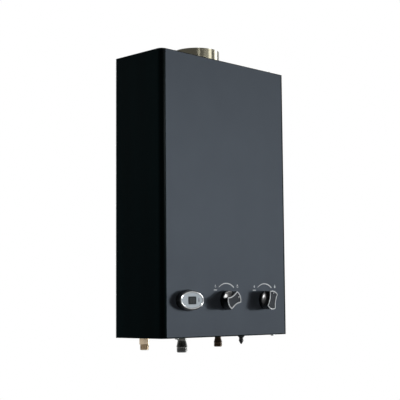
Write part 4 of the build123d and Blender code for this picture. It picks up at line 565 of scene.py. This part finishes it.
def teardrop(x, y, z, radius, hollow):
    """A drop or flame sign: a disc whose top is drawn to a point, with its middle open for a flame."""
    drop = circle((x, y, z), radius, MARK_SIDES)
    if hollow:
        bpy.ops.mesh.inset(thickness=radius * FLAME_BAND)
        bpy.ops.mesh.delete(type="FACE")
    for reach, rise in TIP_PULLS:
        pull(lambda place: place.z - z > radius * reach, (0, 0, radius * rise))
    thicken(SKIN)
    return drop


def dash(x, y, z):
    """A plain round-ended printed line."""
    line = circle((x, y, z), DASH_WIDTH / 2, DASH_SIDES)
    for side in (-1, 1):
        pull(
            lambda place: (place.x - x) * side > DASH_WIDTH * OFF_MIDDLE,
            (side * (DASH_LENGTH - DASH_WIDTH) / 2, 0, 0),
        )
    thicken(SKIN)
    return line


# Printed scales over the knobs, on the front panel's face
joints = {joint["name"]: joint for joint in frame["record"]["behaviour"]["joints"]}
panel_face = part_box("front_panel")[0].y
knobs = (
    ("gas", "gas_knob_turn", "gas_control", GAS_POINTER, True),
    ("water", "water_knob_turn", "water_control", WATER_POINTER, False),
)
for name, joint, body, pointer, hollow in knobs:
    x, _, z = joints[joint]["pos_m"]
    marks = [
        tapered_arc(x, panel_face, z),
        teardrop(x - MARK_REACH, panel_face, z + MARK_RISE, SMALL_MARK, hollow),
        teardrop(x + MARK_REACH, panel_face, z + MARK_RISE, LARGE_MARK, hollow),
        dash(x - MARK_REACH, panel_face, z + MARK_RISE - DASH_DROP),
    ]
    place_piece(gather(marks), f"{name}_scale_print", "casing", "silver_trim", printed_ink)

    # Domed shoulders: the base swells from its rim up to the grip
    base_face = panel_face - KNOB_FACE
    rings = [(across * MM, base_face + step * MM) for across, step in SHOULDERS]
    rim, back = rings[0]
    shoulders = circle((x, back, z), rim, SHOULDER_SIDES)
    draw_through(bpy.ops.mesh.extrude_region_move, rings, DEPTH_AXIS, (x, back, z))
    close_up()
    place_piece(shoulders, f"{name}_knob_shoulders", body, "black_plastic", black_abs, angle=ROUND_ANGLE)

    # Index dot near the pointer's end: a low dome let into the pebbled face
    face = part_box(f"{name}_knob_insert")[0].y
    dot_x = x + DOT_REACH * math.cos(pointer)
    dot_z = z + DOT_REACH * math.sin(pointer)
    dot = circle((dot_x, face + SKIN, dot_z), DOT_RADIUS, DOT_SIDES)
    stud(-DOT_RISE, DOT_INSET, -DOT_CROWN)
    place_piece(dot, f"{name}_index_dot", body, "silver_trim", index_white, angle=ROUND_ANGLE)


# Display ring: a chrome band with a crowned front round the oval face
def oval_ring(x, z, half_width, half_height, profile):
    """An oval of edges drawn through pairs of outward step and place along y, back to where it began."""
    step, y = profile[0]
    piece = circle((x, y, z), 1, RING_SIDES, filled=False)
    bpy.ops.transform.resize(
        value=(half_width + step, 1, half_height + step), center_override=(x, y, z)
    )
    for (step, y), (next_step, next_y) in zip(profile, profile[1:] + profile[:1]):
        bpy.ops.mesh.extrude_edges_move(TRANSFORM_OT_translate={"value": (0, next_y - y, 0)})
        widen = (half_width + next_step) / (half_width + step)
        heighten = (half_height + next_step) / (half_height + step)
        bpy.ops.transform.resize(value=(widen, 1, heighten), center_override=(x, next_y, z))
    close_up()
    return piece


ring_low, ring_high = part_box("display_ring")
ring_section = [(0, ring_high.y), (-RING_BAND, ring_high.y)]
for step in range(RING_STEPS + 1):
    share = step / RING_STEPS
    ring_section.append((-RING_BAND * (1 - share), ring_low.y + RING_CROWN * (2 * share - 1) ** 2))
ring = oval_ring(
    (ring_low.x + ring_high.x) / 2, (ring_low.z + ring_high.z) / 2,
    (ring_high.x - ring_low.x) / 2, (ring_high.z - ring_low.z) / 2, ring_section,
)
place_piece(
    ring, "display_crowned_ring", "casing", "chrome_ring", plastic_chrome, "display_ring", angle=ROUND_ANGLE
)


# Resting display: two seven-segment digits that show faintly on the lens, and a thermometer sign beside it
def segment(x, y, z, upright):
    """One pointed bar of a digit, drawn out from a disc of four sides."""
    bar = circle((x, y, z), SEGMENT_WIDTH / 2 / math.cos(math.pi / 4), 4)
    reach = DIGIT_HEIGHT / 2 if upright else DIGIT_WIDTH
    along = (reach - SEGMENT_GAP) / 2
    middle = SEGMENT_WIDTH * OFF_MIDDLE
    for side in (-1, 1):
        if upright:
            pull(lambda place: (place.z - z) * side > middle, (0, 0, side * along))
        else:
            pull(lambda place: (place.x - x) * side > middle, (side * along, 0, 0))
    thicken(SKIN / 2)
    return bar


window_low, window_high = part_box("display_window")
window_x = (window_low.x + window_high.x) / 2
window_z = (window_low.z + window_high.z) / 2
bars = []
for digit in (-0.5, 0.5):
    digit_x = window_x + digit * DIGIT_PITCH
    for step in (-1, 0, 1):
        bars.append(segment(digit_x, window_low.y, window_z + step * DIGIT_HEIGHT / 2, False))
    for side in (-1, 1):
        for step in (-0.5, 0.5):
            bars.append(segment(
                digit_x + side * DIGIT_WIDTH / 2, window_low.y, window_z + step * DIGIT_HEIGHT / 2, True
            ))
place_piece(gather(bars), "resting_digits", "casing", "lens", resting_crystal)

plate_low, plate_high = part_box("display_plate")
sign_x = window_high.x + (plate_high.x - window_high.x) * SIGN_PLACE
sign_z = window_z - BULB_RADIUS
sign = circle((sign_x, plate_low.y, sign_z), BULB_RADIUS, MARK_SIDES)
pull(lambda place: place.z - sign_z > BULB_RADIUS * BULB_TOP, (0, 0, STEM_HEIGHT))
thicken(SKIN)
place_piece(sign, "thermometer_sign", "casing", "black_plastic", dark_ink)


# Threaded nipples: each turned from its bore round and back, with a helical thread on its end
def thread(x, y, bottom, length, crest, pitch):
    """A helical ridge of triangular section, sunk into the core that carries it."""
    tooth = pitch * TOOTH_SHARE
    begin()
    bpy.ops.mesh.primitive_circle_add(
        vertices=3, radius=tooth, fill_type="NOTHING", location=(x, y, bottom + pitch),
        rotation=(math.pi / 2, math.pi / 2, 0),
    )
    bpy.ops.object.transform_apply(location=False, rotation=True, scale=True)
    ridge = bpy.context.object
    edit_all()
    bpy.ops.transform.translate(value=(crest - tooth, 0, 0))
    bpy.ops.object.mode_set(mode="OBJECT")
    helix = ridge.modifiers.new("helix", "SCREW")
    helix.screw_offset = pitch
    helix.iterations = int(length / pitch) - 1
    helix.steps = helix.render_steps = HELIX_STEPS
    helix.use_merge_vertices = False
    bpy.ops.object.modifier_apply(modifier="helix")
    edit_all()
    bpy.ops.mesh.fill_holes(sides=4)
    close_up()
    return ridge


def nipple(node, crest, depth, pitch, length, bore, upper):
    """A core that is cut to the thread's root, with the helical ridge on it and an upper profile."""
    low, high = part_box(node)
    x = (low.x + high.x) / 2
    root = crest - depth
    profile = [
        (bore, low.z),
        (root - THREAD_CHAMFER, low.z),
        (root, low.z + THREAD_CHAMFER),
        (root, low.z + length),
    ] + upper
    foot = (x, CONNECTION_Y, low.z)
    core = circle(foot, bore, NIPPLE_SIDES, filled=False, turn=LEVEL)
    draw_through(bpy.ops.mesh.extrude_edges_move, profile + profile[:1], HEIGHT_AXIS, foot)
    close_up()
    return gather([core, thread(x, CONNECTION_Y, low.z, length, crest, pitch)])


# Hot outlet: brass, with a plain collar above its thread and a socket for the pipe
hot_low, hot_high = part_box("hot_outlet_nipple")
hot_flange_radius = (hot_high.x - hot_low.x) / 2
hot_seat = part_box("bottom_plate")[0].z + BOTTOM_SHEET
hot_outlet = nipple(
    "hot_outlet_nipple", WATER_CREST, WATER_THREAD_DEPTH, WATER_PITCH, HOT_THREAD, WATER_BORE,
    [
        (HOT_COLLAR_RADIUS, hot_low.z + HOT_THREAD + THREAD_CHAMFER),
        (HOT_COLLAR_RADIUS, hot_seat),
        (hot_flange_radius, hot_seat),
        (hot_flange_radius, hot_seat + HOT_FLANGE),
        (HOT_SLEEVE_RADIUS, hot_seat + HOT_FLANGE),
        (HOT_SLEEVE_RADIUS, hot_high.z),
        (HOT_SOCKET_RADIUS, hot_high.z),
        (HOT_SOCKET_RADIUS, hot_high.z - HOT_SOCKET_DEPTH),
        (WATER_BORE, hot_high.z - HOT_SOCKET_DEPTH),
    ],
)
place_piece(hot_outlet, "hot_outlet_threaded", "casing", "brass", turned_brass, "hot_outlet_nipple")

# Gas inlet: plated, flaring from a collared neck to its thread
gas_low, gas_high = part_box("gas_inlet_nipple")
gas_flange_radius = (gas_high.x - gas_low.x) / 2
gas_collar_top = CASE_BOTTOM - GAS_COLLAR_DROP
gas_inlet = nipple(
    "gas_inlet_nipple", GAS_CREST, GAS_THREAD_DEPTH, GAS_PITCH, GAS_THREAD, GAS_BORE,
    [
        (GAS_CREST, gas_low.z + GAS_THREAD),
        (GAS_NECK_RADIUS, gas_low.z + GAS_THREAD + GAS_SHOULDER),
        (GAS_NECK_RADIUS, gas_collar_top - GAS_COLLAR_HEIGHT),
        (GAS_COLLAR_RADIUS, gas_collar_top - GAS_COLLAR_HEIGHT),
        (GAS_COLLAR_RADIUS, gas_collar_top),
        (GAS_NECK_RADIUS, gas_collar_top),
        (GAS_NECK_RADIUS, gas_high.z - FLANGE),
        (gas_flange_radius, gas_high.z - FLANGE),
        (gas_flange_radius, gas_high.z),
        (GAS_BORE, gas_high.z),
    ],
)
place_piece(gas_inlet, "gas_inlet_threaded", "casing", "plated_brass", nickel_plate, "gas_inlet_nipple")

# Cold inlet: brass darkened to brown black as painted shade, flaring from a slim neck to its thread
cold_low, cold_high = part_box("cold_inlet_nipple")
cold_flange_radius = (cold_high.x - cold_low.x) / 2
cold_inlet = nipple(
    "cold_inlet_nipple", WATER_CREST, WATER_THREAD_DEPTH, WATER_PITCH, COLD_THREAD, WATER_BORE,
    [
        (WATER_CREST, cold_low.z + COLD_THREAD),
        (COLD_NECK_RADIUS, cold_low.z + COLD_THREAD + COLD_SHOULDER),
        (COLD_NECK_RADIUS, cold_high.z - FLANGE),
        (cold_flange_radius, cold_high.z - FLANGE),
        (cold_flange_radius, cold_high.z),
        (WATER_BORE, cold_high.z),
    ],
)
place_piece(cold_inlet, "cold_inlet_threaded", "casing", "dark_bronze", brass_in_painted_shade, "cold_inlet_nipple")


# Cover screws: pan heads with a cross recess, two up and two down
def pan_screw(x, y, seat):
    """A screw that points down, drawn up from its tip to a domed head."""
    tip = (x, y, seat - SHANK_LENGTH)
    screw = circle(tip, SHANK_RADIUS, SCREW_SIDES, turn=LEVEL)
    profile = [(SHANK_RADIUS, tip[HEIGHT_AXIS]), (SHANK_RADIUS, seat)]
    for across, up in HEAD_RINGS:
        profile.append((HEAD_RADIUS * across, seat + HEAD_HEIGHT * up))
    draw_through(bpy.ops.mesh.extrude_region_move, profile, HEIGHT_AXIS, tip)
    close_up()
    for turn in (0, math.pi / 2):
        begin()
        bpy.ops.mesh.primitive_cube_add(
            size=1, location=(x, y, seat + HEAD_HEIGHT), rotation=(0, 0, turn),
            scale=(RECESS_LENGTH, RECESS_WIDTH, 2 * RECESS_DEPTH),
        )
        cutter = bpy.context.object
        choose(screw)
        cut = screw.modifiers.new("recess", "BOOLEAN")
        cut.object = cutter
        cut.operation = "DIFFERENCE"
        bpy.ops.object.modifier_apply(modifier="recess")
        bpy.data.objects.remove(cutter)
    return screw


screw_low, screw_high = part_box("cover_screws")
screw_x = screw_high.x - HEAD_RADIUS
screw_y = (screw_low.y + screw_high.y) / 2
screw_z = (screw_low.z + screw_high.z) / 2
upper_right = pan_screw(screw_x, screw_y, screw_high.z - HEAD_HEIGHT)
screws = [upper_right, copy_of(upper_right, (-2 * screw_x, 0, 0))]
for screw, axis_x in zip(list(screws), (screw_x, -screw_x)):
    screws.append(copy_of(screw, (0, 0, 0)))
    edit_all()
    bpy.ops.transform.rotate(value=math.pi, orient_axis="Y", center_override=(axis_x, screw_y, screw_z))
    bpy.ops.object.mode_set(mode="OBJECT")
place_piece(gather(screws), "pan_head_screws", "casing", "bright_steel", zinc_plate, "cover_screws")

# Finger ribs on the battery lid
lid_low, lid_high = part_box("battery_lid")
lid_x = (lid_low.x + lid_high.x) / 2
begin()
bpy.ops.mesh.primitive_cube_add(
    size=1, location=(lid_x, lid_low.y + RIB_INSET, lid_low.z), scale=(RIB_LENGTH, RIB_WIDTH, 2 * RIB_HEIGHT)
)
settle()
rib = bpy.context.object
edit_all()
bpy.ops.mesh.bevel(offset=RIB_ROUND, segments=RIB_ROUND_STEPS, affect="EDGES")
close_up()
ribs = [rib] + [copy_of(rib, (0, step * RIB_PITCH, 0)) for step in range(1, RIB_COUNT)]
place_piece(gather(ribs), "lid_finger_ribs", "battery_door", "black_plastic", black_abs)

# Lap seam down the back of the flue collar, with a row of spot welds
collar_low, collar_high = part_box("flue_collar")
collar_x = (collar_low.x + collar_high.x) / 2
collar_y = (collar_low.y + collar_high.y) / 2
collar_radius = (collar_high.x - collar_low.x) / 2
collar_back = collar_y + collar_radius
seam_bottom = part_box("top_plate")[1].z + SEAM_MARGIN
seam_height = collar_high.z - SEAM_MARGIN - seam_bottom
seam_middle = (collar_x, collar_back, seam_bottom + seam_height / 2)
begin()
bpy.ops.mesh.primitive_plane_add(size=1, location=seam_middle, rotation=(0, math.pi / 2, 0))
settle()
seam = bpy.context.object
edit_all()
bpy.ops.transform.resize(value=(1, 2 * SEAM_SHEET, seam_height), center_override=seam_middle)
bpy.ops.mesh.spin(
    steps=SEAM_STEPS, angle=SEAM_WIDTH / collar_radius, center=(collar_x, collar_y, seam_bottom),
    axis=(0, 0, 1),
)
close_up()
weld = circle((collar_x, collar_back, seam_bottom), WELD_RADIUS, WELD_SIDES)
stud(SEAM_SHEET + WELD_HEIGHT, WELD_INSET, -WELD_DIMPLE)
weld_pitch = seam_height / WELD_COUNT
welds = [copy_of(weld, (0, 0, (step + 0.5) * weld_pitch)) for step in range(WELD_COUNT)]
bpy.data.objects.remove(weld)
place_piece(gather([seam] + welds), "flue_lap_seam", "casing", "stainless", rolled_stainless)

# Floor, far below because the heater hangs on a wall
begin()
bpy.ops.mesh.primitive_plane_add(size=FLOOR_SIZE, location=(0, 0, FLOOR_Z))
floor = bpy.context.object
floor.name = "floor"
pale = bpy.data.materials.new("pale_floor")
pale.use_nodes = True
tree = pale.node_tree
tree.nodes.clear()
path = add(tree, "LightPath", {})
grain = add(tree, "TexNoise", {"Scale": FLOOR_GRAIN, "Detail": GRAIN_DETAIL})
tone = add(
    tree, "Mix", {0: grain.outputs["Fac"], 6: linear("#f4f4f4"), 7: linear("#f9f9f9")}, data_type="RGBA"
)
matt = add(tree, "BsdfDiffuse", {"Color": tone.outputs[2]})
glow = add(tree, "Emission", {"Color": WHITE, "Strength": 1.0})
share = add(tree, "Math", {0: path.outputs["Is Camera Ray"], 1: FLOOR_GLOW}, operation="MULTIPLY")
mixed = add(tree, "MixShader", {0: share.outputs[0], 1: matt.outputs[0], 2: glow.outputs[0]})
add(tree, "OutputMaterial", {"Surface": mixed.outputs[0]})
floor.data.materials.append(pale)

# World: white where it is seen, mirrored or seen through, and dimmer where it lights
world = bpy.data.worlds.new("studio")
bpy.context.scene.world = world
world.use_nodes = True
tree = world.node_tree
tree.nodes.clear()
path = add(tree, "LightPath", {})
seen = add(
    tree, "Math", {0: path.outputs["Is Camera Ray"], 1: path.outputs["Is Glossy Ray"]}, operation="MAXIMUM"
)
seen = add(
    tree, "Math", {0: seen.outputs[0], 1: path.outputs["Is Transmission Ray"]}, operation="MAXIMUM"
)
soft = add(tree, "Background", {"Color": WHITE, "Strength": SOFT_LIGHT})
white = add(tree, "Background", {"Color": WHITE, "Strength": 1.0})
mixed = add(tree, "MixShader", {0: seen.outputs[0], 1: soft.outputs[0], 2: white.outputs[0]})
add(tree, "OutputWorld", {"Surface": mixed.outputs[0]})


# Lamps: a far key with a small core, gridded boxes behind, above and below, and strips that only gloss shows
def area_lamp(name, place, aim, width, height, power, spread, for_gloss=False):
    """A soft box that looks at a point, and either lights matt surfaces or shows in gloss.

    The spread is what a grid on its face lets out."""
    lamp = bpy.data.lights.new(name, "AREA")
    lamp.shape = "RECTANGLE"
    lamp.size = width
    lamp.size_y = height
    lamp.energy = power
    lamp.spread = math.radians(spread)
    holder = bpy.data.objects.new(name, lamp)
    bpy.context.scene.collection.objects.link(holder)
    holder.location = place
    holder.rotation_euler = (Vector(aim) - Vector(place)).to_track_quat("-Z", "Y").to_euler()
    holder.visible_camera = False
    holder.visible_diffuse = not for_gloss
    holder.visible_glossy = for_gloss


def around(centre, bearing, distance, rise):
    """A place round a point, by bearing from the front, level distance and rise."""
    turn = math.radians(bearing)
    return centre + Vector((distance * math.sin(turn), -distance * math.cos(turn), rise))


def gloss_strip(name, centre, bearing, distance, rise, width, height, radiance):
    """A soft box that shows in gloss alone, by how bright its face is."""
    place = around(centre, bearing, distance, rise)
    power = radiance * math.pi * width * height
    area_lamp(name, place, centre, width, height, power, OPEN_SPREAD, for_gloss=True)


controls = Vector((0, panel_face, CONTROLS_Z))
core_aim = Vector((CORE_AIM_X, panel_face, CORE_AIM_Z))
collar_rim = Vector((collar_x, collar_y, collar_high.z))
fittings = Vector((0, CONNECTION_Y, gas_low.z))
key_place = around(controls, KEY_BEARING, KEY_DISTANCE, KEY_RISE)
area_lamp("key_from_the_right", key_place, controls, KEY_SIZE, KEY_SIZE, KEY_POWER, KEY_SPREAD)
area_lamp("key_core", key_place, core_aim, CORE_SIZE, CORE_SIZE, CORE_POWER, CORE_SPREAD)
for name, bearing in (("rear_left", -REAR_BEARING), ("rear_right", REAR_BEARING)):
    place = around(controls, bearing, REAR_DISTANCE, REAR_RISE)
    area_lamp(name, place, controls, REAR_SIZE, REAR_SIZE, REAR_POWER, GRID_SPREAD)
for name, height, size, power in UPRIGHT_LAMPS:
    area_lamp(name, (0, UPRIGHT_Y, height), (0, UPRIGHT_Y, 0), size, size, power, GRID_SPREAD)
for name, bearing, width in FLUE_STRIPS:
    gloss_strip(
        name, collar_rim, bearing, FLUE_STRIP_DISTANCE, FLUE_STRIP_RISE, width, FLUE_STRIP_HEIGHT,
        FLUE_STRIP_RADIANCE,
    )
gloss_strip("right_strip", controls, *RIGHT_STRIP)
gloss_strip("fitting_strip", fittings, *FITTING_STRIP)
gloss_strip("front_box", controls, *FRONT_BOX)

# Camera
back = Vector((
    math.sin(CAMERA_AZIMUTH) * math.cos(CAMERA_ELEVATION),
    -math.cos(CAMERA_AZIMUTH) * math.cos(CAMERA_ELEVATION),
    math.sin(CAMERA_ELEVATION),
))
right = (-back).cross(Vector((0, 0, 1))).normalized()
upward = right.cross(-back)
rolled_right = math.cos(CAMERA_ROLL) * right + math.sin(CAMERA_ROLL) * upward
rolled_up = -math.sin(CAMERA_ROLL) * right + math.cos(CAMERA_ROLL) * upward
lens = bpy.data.cameras.new("camera")
lens.lens = CAMERA_LENS
lens.sensor_width = SENSOR_WIDTH
camera = bpy.data.objects.new("camera", lens)
bpy.context.scene.collection.objects.link(camera)
turn = Matrix((rolled_right, rolled_up, back)).transposed().to_4x4()
camera.matrix_world = Matrix.Translation(CAMERA_PLACE) @ turn
bpy.context.scene.camera = camera
bpy.context.scene.view_settings.view_transform = "Standard"
